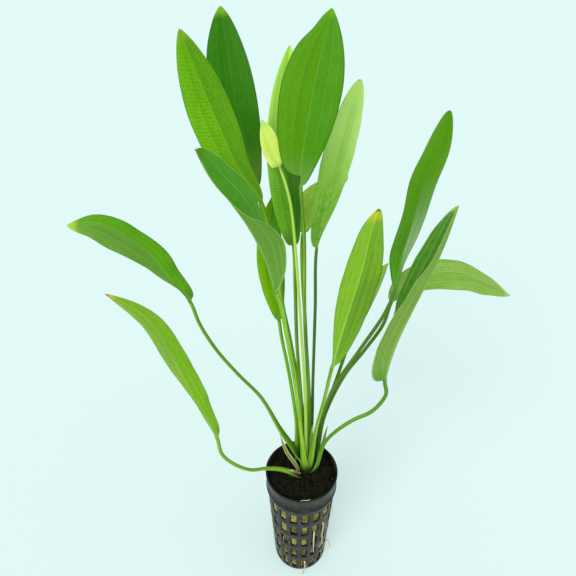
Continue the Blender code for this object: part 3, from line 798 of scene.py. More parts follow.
# %% The leaves of the middle
LEAVES |= {
    "leaf_upper_left": Leaf(
        route=((-2.4, 8.9, 90), (-2, 9, 136), (-7, 10, 176), (-12, 11, 217), (-17, 14, 252),
               (-22, 16, 272), (-33, 18, 289), (-40, 20, 307), (-47, 21, 326), (-53, 21, 345)),
        blade_from=5, half_width=(12, 9), belly=(0.5, 0.55), shoulder=(0.6, 0.5), tip_fullness=0.7,
        facing=((0.3, -1, 0.1), (0.35, -1, 0.3)), fold=((15, 22),),
        look=Look(upper=("#7dc805", "#67aa0c"), base="#599905", base_reach=0.5, vein="#9ccc4a",
                  rung_strength=0.45, rung_gap=1.7, edge="#5c9c1c", edge_strength=0.5,
                  tip="#86bc2c", tip_length=6)),
    "leaf_left_inner": Leaf(
        route=((-4.1, 5.8, 90), (-4, 4, 133), (-8.5, 7, 170), (-12.5, 12, 191), (-14, 16, 201),
               (-17, 22, 218), (-19, 26, 240), (-18, 30, 258), (-15, 33, 270)),
        blade_from=4, half_width=(8, 8), belly=(0.48, 0.48), shoulder=(0.55, 0.55), tip_fullness=0.8,
        facing=((0.3, -1, 0.1), (0.3, -1, 0.3)), fold=((20, 35),),
        look=Look(upper=("#8ece05", "#549805"), base="#6aa618", vein="#8fc43c", rung_strength=0.15)),
    "leaf_centre_broad": Leaf(
        route=((6.2, 3.1, 90), (3, 2, 154), (0, 5, 209), (-1, 12, 257), (-3, 17, 285),
               (0, 22, 308), (4, 29, 328), (10, 38, 351)),
        blade_from=3.8, half_width=(14.6, 13), belly=(0.47, 0.54), shoulder=(0.34, 0.5), tip_fullness=0.8,
        start=(0.065, 0), bumps=((0, 0.87, -1.3, 0.07),), stalk_radius=0.85,
        facing=((0, -1, 0.1), (-0.1, -1, 0.2)), fold=((12, 14),),
        look=Look(upper=("#5fa405", "#519c05"), base="#74a848", base_reach=0.22, vein="#7fbe45",
                  vein_strength=0.6, rung_strength=0.22, rung_gap=1.3, edge="#3c7a08",
                  edge_strength=0.7, tip="#72b41a", tip_length=5, streaks=0.1,
                  stalk=("#a4d84c", "#4f8414"))),
    "leaf_young": Leaf(
        route=((3.1, 0.7, 90), (1, -2, 156), (-2, 2, 205), (-5, 10, 246), (-8, 16, 272),
               (-13, 20, 288), (-17, 22, 296), (-21, 24, 308)),
        blade_from=5, half_width=(4.6, 4.8), belly=(0.27, 0.55), shoulder=(0.25, 0.3), tip_fullness=0.8,
        facing=((0.2, -1, 0.1), (0, -1, 0.2)), fold=((20, 20),), foot_radius=1.1, stalk_radius=0.7,
        look=Look(upper=("#eeff79", "#e9fd75"), under=("#cdf06a", "#c9ea66"), base="#c4e860",
                  vein="#e0f598", vein_strength=0.3, rung_strength=0.1, edge="#dcf48e",
                  tip="#d0ee70", mottle=0.1, streaks=0.05, stalk=("#d8f078", "#b0dc50"))),
    "leaf_right_tall": Leaf(
        route=((10.1, 2.75, 90), (12, 4, 129), (17, 7, 154), (32, 12, 182), (45, 17, 205),
               (50, 21, 220), (52, 26, 234), (56, 31, 249), (61, 37, 273), (68, 43, 290),
               (71, 48, 306)),
        blade_from=5, half_width=(8.3, 6.8), belly=(0.45, 0.56), shoulder=(0.5, 0.8), tip_fullness=0.5,
        bumps=((0, 0.43, -1.7, 0.13), (0, 0.17, 0.7, 0.07), (0, 0.84, 0.9, 0.1)),
        facing=((-0.1, -1, 0.1), (-0.45, -1, 0.2)), fold=((20, 45), (18, 34), (10, 14)), wave=(0.7, 1.6),
        # Its pale right half is a painted sheen, and its long green tip colour covers it towards the top.
        look=Look(upper=("#579805", "#bcdcac"), base="#5ab105", base_reach=0.3, vein="#9cc07a",
                  edge="#38700c", edge_strength=0.6, tip="#5c9c14", tip_length=90, point=0.2,
                  streaks=0.4, stalk=("#7fae40", "#3f7014"))),
}
print(len(LEAVES), "leaves so far")

# %% The leaves at the front
LEAVES |= {
    "leaf_front_twisted": Leaf(
        route=((1.75, -3.1, 90), (-1, -8, 133), (-5, -15, 181), (-9, -23, 218), (-12, -30, 243),
               (-14, -34, 254), (-17, -41, 272), (-22, -49, 290), (-27, -56, 303), (-32, -62, 314),
               (-35, -66, 324)),
        blade_from=5, half_width=(8.65, 13), belly=(0.41, 0.52), shoulder=(1.02, 0.53), tip_fullness=0.63,
        facing=((0.86, 1, -0.66), (0.97, 0.98, 1), (1, 0.1, 0.93), (1, -0.25, 0.71)),
        fold=((32, 31), (39, 57), (38, 46), (13, 30), (10, 36)), bumps=((0, 0.6, 1.28, 0.24),),
        look=Look(upper=("#57b005", "#57b005"), under=("#7eb33b", "#b6e578"), base="#6ba23a",
                  vein="#a8d07c", vein_strength=0.4, rung_strength=0.15, edge="#b4e070",
                  edge_strength=0.8, tip="#5fa21c", streaks=0.3, stalk=("#b4e44c", "#6aa31a"))),
    "leaf_front_right": Leaf(
        route=((5.5, -2.8, 90), (8, -6, 138), (11, -9, 162), (14, -14, 194), (19, -20, 232),
               (23, -25, 261), (24, -28, 277), (26, -30, 289)),
        blade_from=3, half_width=(11, 7.3), belly=(0.47, 0.6), shoulder=(0.45, 0.8), tip_fullness=0.6,
        facing=((-0.1, 1, 0.3), (-0.2, 1, 0.3)), fold=((12, 12),),
        look=Look(under=("#90ca28", "#98d026"), base="#90d305", vein="#b4dc62", vein_strength=0.6,
                  rung_strength=0.22, edge="#6a9e2c", tip="#d4dc3c", tip_length=8, point=0.6,
                  mottle=0.3, stalk=("#b8e060", "#6ca424"))),
    "leaf_right_folded": Leaf(
        route=((8.5, -0.6, 90), (13, -8, 126), (19, -13, 143), (27, -19, 159), (34, -24, 170),
               (38, -27, 180), (40, -28, 188), (38, -29, 199), (40.5, -29, 220), (46.2, -27, 239),
               (52.6, -24, 256), (57.6, -20, 270), (62, -14, 283)),
        blade_from=7, half_width=(9.8, 10.4), belly=(0.6, 0.38), shoulder=(0.6, 0.3), tip_fullness=0.65,
        bumps=((1, 0.72, -2.6, 0.15),),
        facing=((-1, 0.5, 0.3), (-0.9, -0.1, 0.5)), fold=((48, 48),), foot_pull=0.05,
        # Its pale margin is a painted rim highlight.
        look=Look(upper=("#4c920a", "#4c920a"), under=("#91bd4c", "#90bb49"), base="#73a440",
                  vein="#a6cc84", vein_strength=0.5, rung_strength=0.4, edge="#c0e090", edge_strength=0.8,
                  tip="#a8cc40", tip_length=4, streaks=0.3, stalk=("#9ccc50", "#5f9824"))),
    "leaf_far_left": Leaf(
        route=((-0.1, 2.9, 90), (-6, 0, 112), (-14, 4, 125), (-25, 7, 149), (-38, 9, 166),
               (-49, 10, 183), (-57, 10, 202), (-61, 10, 218), (-71, 10, 234), (-77, 10, 245),
               (-90, 9, 259), (-100, 7, 265), (-112, 4, 265)),
        blade_from=7, half_width=(11, 7.2), belly=(0.7, 0.4), shoulder=(0.8, 0.4), tip_fullness=0.7,
        facing=((0.4, -0.5, 0.6), (0.1, -0.5, 0.8)), fold=((8, 8),), wave=(0.8, 2.2),
        sheath_half=5.0, sheath_reach=34,
        look=Look(upper=("#7ab543", "#67b60d"), base="#60a124", vein="#93c456", edge="#5c9030",
                  tip="#b4dc4c", tip_length=6, streaks=0.3, stalk=("#8cc438", "#4c8414"))),
    "leaf_low_left": Leaf(
        route=((-2.2, -3.4, 88.5), (-8.6, -3, 92.3), (-13, -3.3, 94.6), (-22, -8, 102), (-31, -15, 110),
               (-39, -22, 124), (-45, -28, 141), (-46, -33, 162), (-50, -36, 180), (-58, -42, 220),
               (-63, -47, 246), (-68, -50, 256), (-76, -54, 266)),
        blade_from=7, half_width=(5, 6.5), belly=(0.72, 0.4), shoulder=(1.2, 0.5), tip_fullness=0.75,
        facing=((0.6, -0.5, 0.6), (0.2, -0.5, 0.8)), fold=((15, 15),),
        foot_radius=1.7, foot_pull=0, sheath_half=2.4, sheath_reach=14,
        look=Look(upper=("#b2e253", "#95d208"), base="#84bc24", vein="#b0d868", edge="#a4cc60",
                  tip="#dcd45c", tip_length=5, point=0.6, mottle=0.3, streaks=0.3,
                  stalk=("#a8d84c", "#68a020"))),
}

# %% Building the leaves
def add_leaf(name, leaf, seed, sheath_reach=20.0):
    """One leaf as a piece, which replaces the plain part of its name if there is one. Gives its triangles."""
    rings, blade, below, blade_length = leaf_shell(leaf, seed)
    material = leaf_material(name, leaf.look, blade_length, sheath_reach)
    replaced = [name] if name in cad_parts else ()
    add_piece(name + "_fine", rings, closed_loft(rings), material, replaced,
              [("blade", "FLOAT_VECTOR", blade), ("under", "FLOAT", below)])
    return 2 * rings.shape[0] * rings.shape[1]


triangles = 0
for seed, (name, leaf) in enumerate(LEAVES.items()):
    triangles += add_leaf(name, leaf, seed, leaf.sheath_reach)
print(len(LEAVES), "leaves with about", triangles, "triangles")

# %% [markdown]
# Some leaves have died back to the sheath at their foot. The dry strips that are
# left stand beside the green stalks, and a small torn one lies on the lowest stalk.
# They are built like a leaf without a stalk and painted straw-coloured or brown,
# with a pale edge.

# %% Withered sheaths
straw = Look(upper=("#a4b048", "#98a43c"), under=("#b8c05c", "#a4b048"), base="#a8a850", vein="#e0e49c",
             vein_strength=0.3, rung_strength=0.0, edge="#f2f6bc", edge_strength=1.0, tip="#d8d488",
             mottle=0.4, streaks=0.6)
SHEATHS = {
    "sheath_left": Leaf(
        route=((-1.8, 0, 88.5), (-5, -1.6, 99), (-8.8, -1.8, 107), (-12, -2, 117), (-13.6, -3.2, 128.5)),
        blade_from=0, half_width=(1.3, 1.5), belly=(0.4, 0.4), shoulder=(0.3, 0.3), tip_fullness=0.9,
        facing=((0.6, -0.8, 0.3), (0.7, -0.7, 0.3)), fold=((25, 25),), foot_radius=0.6, stalk_radius=0.4,
        look=straw),
    "sheath_centre": Leaf(
        route=((5.7, 0.3, 90.3), (5.9, -0.5, 96), (5.8, -0.6, 110), (5.7, -0.7, 123), (6.1, -0.9, 134)),
        blade_from=0, half_width=(1.6, 1.6), belly=(0.4, 0.4), shoulder=(0.3, 0.3), tip_fullness=0.9,
        facing=((0.1, -1, 0.1), (0.1, -1, 0.1)), fold=((10, 10),), foot_radius=0.6, stalk_radius=0.4,
        look=Look(upper=("#8cbc3c", "#7cb030"), base="#76a82c", vein="#c8e48c", edge="#c0e07c",
                  rung_strength=0.0, tip="#d8ec98", tip_length=9)),
    "sheath_right": Leaf(
        route=((9.4, 2, 88.5), (11.4, 0.6, 105.5), (13.2, -0.3, 118), (14.2, 0, 126), (15.1, 0.2, 132)),
        blade_from=0, half_width=(1.2, 1.2), belly=(0.5, 0.5), shoulder=(0.3, 0.3), tip_fullness=0.9,
        facing=((-0.5, -1, 0.1), (-0.5, -1, 0.1)), fold=((15, 15),), foot_radius=0.5, stalk_radius=0.35,
        look=Look(upper=("#8a9c54", "#6c8838"), base="#6a9430", vein="#b4c484", edge="#b8c890",
                  rung_strength=0.0, tip="#7c7c50", tip_length=7)),
    "sheath_torn": Leaf(
        route=((-1, -3.4, 90.9), (-3.6, -3.3, 92.6), (-6.2, -3.3, 93.6), (-8.4, -3.4, 94.4)),
        blade_from=0, half_width=(0.9, 0.8), belly=(0.5, 0.4), shoulder=(0.3, 0.3), tip_fullness=0.6,
        facing=((0.1, -0.5, 1), (0.1, -0.6, 1)), fold=((-20, -20),), foot_radius=0.5, stalk_radius=0.35,
        look=Look(upper=("#8a7846", "#7c6a3c"), base="#6c5c34", vein="#b8a878", edge="#d8cc98",
                  rung_strength=0.0, tip="#e4dcb0", tip_length=4)),
}
for seed, (name, sheath) in enumerate(SHEATHS.items()):
    add_leaf(name, sheath, seed + 40)
print(len(SHEATHS), "sheaths")

# %% [markdown]
# Soil, wool, bark and roots all have the same thing in common: an uneven, blotchy
# colour with fine grain on top. One group draws it, and each of their materials
# gives it two colours and a size. It also puts out a height, so that the light
# shows the same grain as the colour.

# %% Blotchy natural matter
blotch_group, given, made = new_group(
    "blotches",
    [("Size", "Float", 1.0), ("Dark", "Color", (0, 0, 0, 1)), ("Light", "Color", (1, 1, 1, 1)),
     ("Speck", "Color", (1, 1, 1, 1)), ("Specks", "Float", 0.1)],
    [("Color", "Color"), ("Height", "Float")])
tree = blotch_group
here = tree.nodes.new("ShaderNodeTexCoord").outputs["Object"]
per_metre = calc(tree, "DIVIDE", 1 / MM, given["Size"])
broad = cloud(tree, here, per_metre, 3.0, 0.6)
grain = cloud(tree, here, calc(tree, "MULTIPLY", per_metre, 4.5), 2.0, 0.7)
both = calc(tree, "MULTIPLY_ADD", grain, 0.5, calc(tree, "MULTIPLY", broad, 0.5))
colour = blend(tree, ramp(tree, both, 0.36, 0.64), given["Dark"], given["Light"])
speck = calc(tree, "MULTIPLY", ramp(tree, grain, 0.62, 0.72), given["Specks"])
plug(tree, blend(tree, speck, colour, given["Speck"]), made["Color"])
plug(tree, both, made["Height"])


def natural(name, dark, light, size, roughness, speck="#ffffff", specks=0.0, depth=0.3, sheen=0.3):
    """A rough, blotchy material. Size and depth are in millimetres."""
    material, tree, shader = new_material(name, Roughness=roughness, Specular_IOR_Level=sheen)
    blotches = place_group(tree, blotch_group, {
        "Size": size, "Dark": light_of(dark), "Light": light_of(light), "Speck": light_of(speck),
        "Specks": specks})
    relief(tree, blotches["Height"], 0.7, depth, shader)
    tree.links.new(blotches["Color"], shader.inputs["Base Color"])
    return material


soil_black = natural("soil_black", "#070805", "#202214", 2.2, 1.0, "#2a2c20", 0.5, sheen=0.08)
soil_brown = natural("soil_brown", "#120f06", "#3a3416", 1.6, 1.0, sheen=0.08)
dry_fibre = natural("dry_fibre", "#121310", "#3c3b30", 2.0, 0.9, sheen=0.1)
pale_speck = natural("pale_speck", "#a8a890", "#d8d8c8", 1.0, 0.7)
root_cream = natural("root_cream", "#9c8a5c", "#e6dcb4", 2.5, 0.55, depth=0.15)
bark = natural("rootstock_bark", "#1f2410", "#4c4c22", 1.8, 0.8, "#7c8c3c", 0.4)
print("natural materials:", soil_black.name, soil_brown.name, dry_fibre.name, root_cream.name, bark.name)

# %% [markdown]
# Thin things such as roots and fibres are tubes: a ring of points is carried
# along a path. Hundreds of them go into one mesh, because they are one thing to the
# eye, and one object is quicker to handle than hundreds.

# %% Tubes
rng = np.random.default_rng(7)


def tubes(paths, radii, sides=5):
    """Points and faces of closed tubes along paths, where each radius is one number or one a point."""
    points, faces = [], []
    for path, radius in zip(paths, radii):
        path = np.asarray(path, float)
        rows = len(path)
        forward = unit(np.gradient(path, axis=0) + 1e-9)
        aside = np.cross(forward, (0.31, 0.22, 0.93))
        aside = unit(aside + 1e-9)
        up = np.cross(forward, aside)
        turn = np.linspace(0, math.tau, sides, endpoint=False)
        thick = np.broadcast_to(np.asarray(radius, float), (rows,))[:, None, None]
        ring = aside[:, None, :] * np.cos(turn)[None, :, None] + up[:, None, :] * np.sin(turn)[None, :, None]
        start = len(points)
        points.extend((path[:, None, :] + ring * thick).reshape(-1, 3).tolist())
        faces.extend([[start + i for i in face] for face in closed_loft(np.zeros((rows, sides, 3)))])
    return points, faces


def wander(start, heading, length, step, bend, pull=(0, 0, 0)):
    """A path that starts somewhere and turns a little at random at each step."""
    place, heading = np.array(start, float), unit(np.array(heading, float))
    path = [place]
    for _ in range(max(3, round(length / step))):
        heading = unit(heading + bend * rng.normal(size=3) + np.array(pull))
        place = place + step * heading
        path.append(place)
    return np.array(path)


print("helpers: tubes, wander")

# %% [markdown]
# The net pot is one thin shell of black plastic. Its wall is a grid of small
# windows with rounded corners. Cutting 90 rounded windows out of a shell leaves a
# poor mesh, so each window is built as a ring of faces between its own rounded
# outline and a rectangle that meets the next window's. Everything is laid out as
# angle and height and then bent round the pot. The modifiers give the wall its
# thickness and soften its edges.

# %% The net pot's sizes
POT_HEIGHT, LIP_RADIUS, LIP_BOTTOM = 90.0, 23.5, 88.2
COLLAR_RADIUS, COLLAR_BOTTOM = 23.0, 77.0
WALL_TOP, WALL_FOOT, POT_WALL, FOOT_BEVEL = (22.4, 76.2), (18.2, 1.2), 1.0, 1.2
COLUMNS, ROWS = 18, 5
HALF_PITCH, HALF_HOLE, FIRST_COLUMN = math.radians(10.0), math.radians(6.5), math.radians(6.0)
HOLE_TOP, HOLE_HEIGHT, HOLE_PITCH = 72.8, 10.0, 14.8
CORNER, CORNER_AT_RADIUS = 1.1, 20.5
WALL_GRID_LOW, WALL_GRID_HIGH = 1.6, 75.6
FLOOR_DISC_RADIUS, FLOOR_SLOT_END = 7.0, 14.5


def wall_radius(z):
    """Outer radius of the pot's tapered wall."""
    (top_radius, top_z), (foot_radius, foot_z) = WALL_TOP, WALL_FOOT
    return foot_radius + (top_radius - foot_radius) * (z - foot_z) / (top_z - foot_z)


def round_pot(angle, z, r):
    """A point at an angle from the pot's front towards +X, a height and a radius."""
    return (r * math.sin(angle), -r * math.cos(angle), z)


columns = [FIRST_COLUMN + 2 * HALF_PITCH * i for i in range(COLUMNS)]
rows = [(HOLE_TOP - HOLE_PITCH * i - HOLE_HEIGHT, HOLE_TOP - HOLE_PITCH * i) for i in range(ROWS)]
print(len(columns) * len(rows), "windows")

# %% The net pot's shell
corner_turn = CORNER / CORNER_AT_RADIUS
straight = HALF_HOLE - corner_turn
between = (straight + HALF_PITCH) / 2
bm = bmesh.new()


def window(centre, low, high, down, up):
    """A ring of faces between a rounded window and the rectangle round it."""
    inner, outer = [], []
    for sx, sz in ((1, 1), (-1, 1), (-1, -1), (1, -1)):
        edge = up if sz > 0 else down
        z_line = (high if sz > 0 else low) - sz * CORNER
        corner = []
        for k in range(5):
            bend = math.radians(22.5 * k)
            corner.append((sx * (straight + corner_turn * math.cos(bend)),
                           z_line + sz * CORNER * math.sin(bend)))
        border = [(sx * HALF_PITCH, z_line), (sx * HALF_PITCH, (z_line + edge) / 2),
                  (sx * HALF_PITCH, edge), (sx * between, edge), (sx * straight, edge)]
        if sx * sz < 0:
            corner.reverse()
            border.reverse()
        inner += corner
        outer += border
    rings = [[bm.verts.new(round_pot(centre + a, z, wall_radius(z))) for a, z in ring]
             for ring in (inner, outer)]
    count = len(inner)
    for i in range(count):
        j = (i + 1) % count
        bm.faces.new((rings[0][i], rings[0][j], rings[1][j], rings[1][i]))


for centre in columns:
    for i, (low, high) in enumerate(rows):
        up = WALL_GRID_HIGH if i == 0 else high + (HOLE_PITCH - HOLE_HEIGHT) / 2
        down = WALL_GRID_LOW if i == ROWS - 1 else low - (HOLE_PITCH - HOLE_HEIGHT) / 2
        window(centre, low, high, down, up)

angles = [centre + a for centre in columns for a in (-HALF_PITCH, -between, -straight, straight, between)]
foot_profile = [(0.0, 0.0), (FLOOR_DISC_RADIUS, 0.0), (FLOOR_SLOT_END, 0.0), (WALL_FOOT[0] - FOOT_BEVEL, 0.0),
                (WALL_FOOT[0] - 0.35, 0.3), WALL_FOOT, (wall_radius(WALL_GRID_LOW), WALL_GRID_LOW)]
top_profile = [(wall_radius(WALL_GRID_HIGH), WALL_GRID_HIGH), WALL_TOP,
               (COLLAR_RADIUS - 0.1, COLLAR_BOTTOM - 0.5),
               (COLLAR_RADIUS + 0.35, COLLAR_BOTTOM), (COLLAR_RADIUS + 0.4, COLLAR_BOTTOM + 0.9),
               (COLLAR_RADIUS, COLLAR_BOTTOM + 1.4), (COLLAR_RADIUS, LIP_BOTTOM),
               (LIP_RADIUS, LIP_BOTTOM + 0.6), (LIP_RADIUS, POT_HEIGHT)]
for profile in (foot_profile, top_profile):
    lines = [[bm.verts.new(round_pot(a, z, r)) for r, z in profile] for a in angles]
    for i, line in enumerate(lines):
        after = lines[(i + 1) % len(lines)]
        in_slot = i % 5 in (1, 2, 3)
        for j in range(len(profile) - 1):
            if profile is foot_profile and j == 1 and in_slot:
                continue
            bm.faces.new((line[j], after[j], after[j + 1], line[j + 1]))
bmesh.ops.remove_doubles(bm, verts=bm.verts, dist=0.01)
bmesh.ops.dissolve_degenerate(bm, edges=bm.edges, dist=0.001)
bmesh.ops.recalc_face_normals(bm, faces=bm.faces)
print("pot shell:", len(bm.faces), "faces")

# %% [markdown]
# Moulded plastic of this kind is nearly black, and its fine surface scatters the
# light into a grey sheen. Handling and lime from the water leave lighter scuffs,
# and here and there the wet plastic has a small smooth, glossy patch.

# %% The net pot's finish
plastic, tree, shader = new_material("net_pot_plastic", Specular_IOR_Level=0.3)
place = tree.nodes.new("ShaderNodeTexCoord").outputs["Object"]
film = ramp(tree, cloud(tree, place, 130.0, 4.0, 0.65), 0.42, 0.68)
scuff = ramp(tree, cloud(tree, place, 900.0, 2.0), 0.6, 0.72)
worn = calc(tree, "MULTIPLY_ADD", film, 0.55, calc(tree, "MULTIPLY", scuff, 0.45), clamp=True)
plug(tree, blend(tree, worn, light_of("#13120c"), light_of("#3a372d")), shader.inputs["Base Color"])
wet = ramp(tree, cloud(tree, place, 260.0, 2.0), 0.56, 0.68, 0, 0.22)
dry = calc(tree, "MULTIPLY_ADD", worn, 0.25, 0.4)
plug(tree, calc(tree, "SUBTRACT", dry, wet), shader.inputs["Roughness"])
relief(tree, cloud(tree, place, 1400.0, 2.0), 0.25, 0.1, shader)
print("pot plastic:", len(tree.nodes), "nodes")

# %% The net pot as a piece
pot_mesh = bpy.data.meshes.new("net_pot_fine")
bmesh.ops.scale(bm, verts=bm.verts, vec=(MM, MM, MM))
bm.to_mesh(pot_mesh)
bm.free()
pot_mesh.materials.append(plastic)
pot = put("net_pot_fine", pot_mesh)
thickness = pot.modifiers.new("wall", "SOLIDIFY")
thickness.thickness = POT_WALL * MM
thickness.offset = -1
thickness.use_even_offset = True
thickness.use_quality_normals = True
edges = pot.modifiers.new("soft_edges", "BEVEL")
edges.width = 0.18 * MM
edges.segments = 2
edges.limit_method = "ANGLE"
edges.angle_limit = math.radians(40)
pot_mesh.shade_smooth()
pot_mesh.set_sharp_from_angle(angle=math.radians(40))
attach(pot, "root")
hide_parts("net_pot")
print("the pot is", POT_HEIGHT, "mm high")

# %% [markdown]
# The pot is packed with rock wool, a felt of mineral fibres that has taken on an
# olive stain. It swells into the windows, fully in some and less in others. The
# surface is a fine grid round the pot. Where a window is, it is pushed out, and the
# same amount is kept as an attribute for the colour. Where the wool stays back,
# between the windows, at their edges and where it fills a window less, its colour
# is painted nearly black as painted shade.

# %% Rock wool
SWELL = 1.45
around = np.radians(np.arange(0, 360, 1.25))
levels = np.linspace(1.9, 76.0, 132)
angle_grid, z_grid = np.meshgrid(around, levels)
nearest = (angle_grid - FIRST_COLUMN + HALF_PITCH) % (2 * HALF_PITCH) - HALF_PITCH
which = np.round((angle_grid - FIRST_COLUMN) / (2 * HALF_PITCH)).astype(int) % COLUMNS
side_share = np.clip(3.2 * (1 - np.abs(nearest) / HALF_HOLE), 0, 1)
fill = rng.uniform(0.3, 1.3, (ROWS, COLUMNS)).clip(0, 1)
swollen = np.zeros_like(z_grid)
for row, (low, high) in enumerate(rows):
    up_share = np.clip(3.2 * (1 - np.abs(z_grid - (low + high) / 2) / (HOLE_HEIGHT / 2)), 0, 1)
    swollen = np.maximum(swollen, side_share * up_share * fill[row][which])
swollen = swollen ** 0.8


def noise_grid(points, size, seed):
    """Smooth noise from -1 to 1 at each point, with spots of a size in millimetres."""
    shift = Vector((seed * 7.1, seed * 3.3, seed * 5.7))
    values = [noise.noise(Vector(p) / size + shift) for p in points.reshape(-1, 3)]
    return np.array(values).reshape(points.shape[:-1])


radius = wall_radius(z_grid) - POT_WALL - 0.6
flat_wool = np.stack([radius * np.sin(angle_grid), -radius * np.cos(angle_grid), z_grid], axis=-1)
lumps = noise_grid(flat_wool, 3.2, 1)
tufts = noise_grid(flat_wool, 0.9, 2)
radius = radius + SWELL * swollen * (0.9 + 0.4 * lumps) + 0.25 * tufts * (0.4 + 0.6 * swollen)
radius = np.minimum(radius, wall_radius(z_grid) + 0.1)
wool_points = np.stack([radius * np.sin(angle_grid), -radius * np.cos(angle_grid), z_grid], axis=-1)

wool = natural("rock_wool_felt", "#6e6a34", "#b0a95e", 1.3, 0.95, "#cdc88c", 0.35, depth=0.35, sheen=0.1)
tree = wool.node_tree
shader = tree.nodes["Principled BSDF"]
blotchy = shader.inputs["Base Color"].links[0].from_socket
here = tree.nodes.new("ShaderNodeTexCoord").outputs["Object"]
stain = ramp(tree, cloud(tree, here, 70.0, 2.0), 0.4, 0.62)
stained = blend(tree, calc(tree, "MULTIPLY", stain, 0.8), blotchy, light_of("#4c3818"))
# Painted shade: the less the wool swells out, the nearer its colour comes to nearly black.
unshaded_share = ramp(tree, stored(tree, "swell")["Fac"], 0.1, 0.8)
plug(tree, blend(tree, unshaded_share, light_of("#1d1a0e"), stained), shader.inputs["Base Color"])
add_piece("rock_wool_fine", wool_points, closed_loft(wool_points), wool, ["rock_wool_plug"],
          [("swell", "FLOAT", swollen)])
print("rock wool grid:", wool_points.shape[:2])

# %% Fibres of the wool
paths = []
for _ in range(700):
    angle = columns[rng.integers(COLUMNS)] + rng.normal() * HALF_HOLE * 0.55
    low, high = rows[rng.integers(ROWS)]
    z = (low + high) / 2 + rng.normal() * HOLE_HEIGHT * 0.25
    r = wall_radius(z) - 0.45 + 0.3 * rng.random()
    start = round_pot(angle, z, r)
    heading = (math.cos(angle) * rng.normal(), math.sin(angle) * rng.normal(), rng.normal())
    inward = (-0.04 * math.sin(angle), 0.04 * math.cos(angle), 0)
    paths.append(wander(start, heading, rng.uniform(1.5, 3.2), 0.6, 0.35, inward))
wool_fibre = natural("wool_fibre", "#6e6836", "#c9c283", 3.0, 0.8)
points, faces = tubes(paths, [0.05] * len(paths), 3)
add_piece("rock_wool_fibres", points, faces, wool_fibre)
print(len(paths), "wool fibres")

# %% [markdown]
# The soil is black and fibrous and fills the pot almost to its rim. A height
# field, a round grid whose points are lifted by noise, gives the ground. Hundreds of
# crumbs lie on it, each a small rough stone shape, and dry fibres lie between them.
# A pale strip on the front of the pot's rim is a painted glint of the wet plastic.

# %% Soil
SOIL_EDGE_RADIUS = COLLAR_RADIUS - POT_WALL - 0.15
SOIL_LEVEL = 86.9


def soil_height(x, y):
    """Height of the soil's surface."""
    r = np.hypot(x, y)
    from_crown = np.hypot(x - CROWN[0], y - CROWN[1])
    edge = 1.6 * np.clip((r - 15) / (SOIL_EDGE_RADIUS - 15), 0, 1) ** 2
    mound = 1.9 * np.exp(-((from_crown / 9.5) ** 2))
    places = np.stack([x, y, 0 * x], axis=-1)
    lumps = 0.8 * noise_grid(places, 5.0, 3) + 0.45 * noise_grid(places, 1.7, 4)
    return SOIL_LEVEL - edge + mound + lumps


shares = np.concatenate([[0.0], np.linspace(0.03, 1, 64)])
turns = np.radians(np.arange(0, 360, 2.0))
share_grid, turn_grid = np.meshgrid(shares, turns, indexing="ij")
x_grid = SOIL_EDGE_RADIUS * share_grid * np.cos(turn_grid)
y_grid = SOIL_EDGE_RADIUS * share_grid * np.sin(turn_grid)
ground = np.stack([x_grid, y_grid, soil_height(x_grid, y_grid)], axis=-1)[1:]
skirt = ground[-1:] * (1, 1, 0) + (0, 0, 77.5)
ground = np.concatenate([ground, skirt])
add_piece("top_soil_fine", ground, closed_loft(ground), soil_black, ["top_soil"])
print("soil grid:", ground.shape[:2])

# %% Crumbs and fibres of the soil
FLATNESS = 0.25
ball = bmesh.new()
bmesh.ops.create_icosphere(ball, subdivisions=1, radius=1.0)
ball_points = np.array([v.co for v in ball.verts])
ball_faces = np.array([[v.index for v in f.verts] for f in ball.faces])
ball.free()


def crumbs(count, small, large, squash):
    """Points and faces of rough crumbs that lie on the soil."""
    points, faces = [], []
    for i in range(count):
        r = (SOIL_EDGE_RADIUS - 1.0) * math.sqrt(rng.random())
        turn = rng.random() * math.tau
        x, y = r * math.cos(turn), r * math.sin(turn)
        size = rng.uniform(small, large)
        rough = ball_points * rng.uniform(0.6, 1.25, size=(len(ball_points), 1))
        shape = rough * (1, rng.uniform(0.6, 1), squash)
        spin = rng.random() * math.tau
        turned = np.stack([shape[:, 0] * math.cos(spin) - shape[:, 1] * math.sin(spin),
                           shape[:, 0] * math.sin(spin) + shape[:, 1] * math.cos(spin), shape[:, 2]], axis=-1)
        z = float(soil_height(np.array([x]), np.array([y]))[0])
        points.append(turned * size + (x, y, z + 0.15 * size))
        faces.extend((ball_faces + i * len(ball_points)).tolist())
    return np.concatenate(points), faces


for name, material, count, small, large, squash in (
        ("soil_crumbs", soil_black, 900, 0.35, 0.95, 0.7),
        ("soil_brown_crumbs", soil_brown, 220, 0.3, 0.75, 0.5),
        ("soil_specks", pale_speck, 8, 0.2, 0.4, 0.5)):
    points, faces = crumbs(count, small, large, squash)
    add_piece(name, points, faces, material)

# Painted glint: two flat pale strips lie on the front of the rim, where the wet plastic shines.
strips = [wander((x, y, POT_HEIGHT + 0.1), (1, slant, 0), length, 0.5, 0.1)
          for x, y, slant, length in ((-1.2, -22.5, 0.03, 3.2), (1.4, -22.4, 0.12, 3.4))]
glint_points, glint_faces = tubes(strips, [0.22, 0.3], 5)
glint_points = np.array(glint_points) * (1, 1, FLATNESS) + (0, 0, (1 - FLATNESS) * POT_HEIGHT)
add_piece("rim_glint", glint_points, glint_faces, pale_speck)

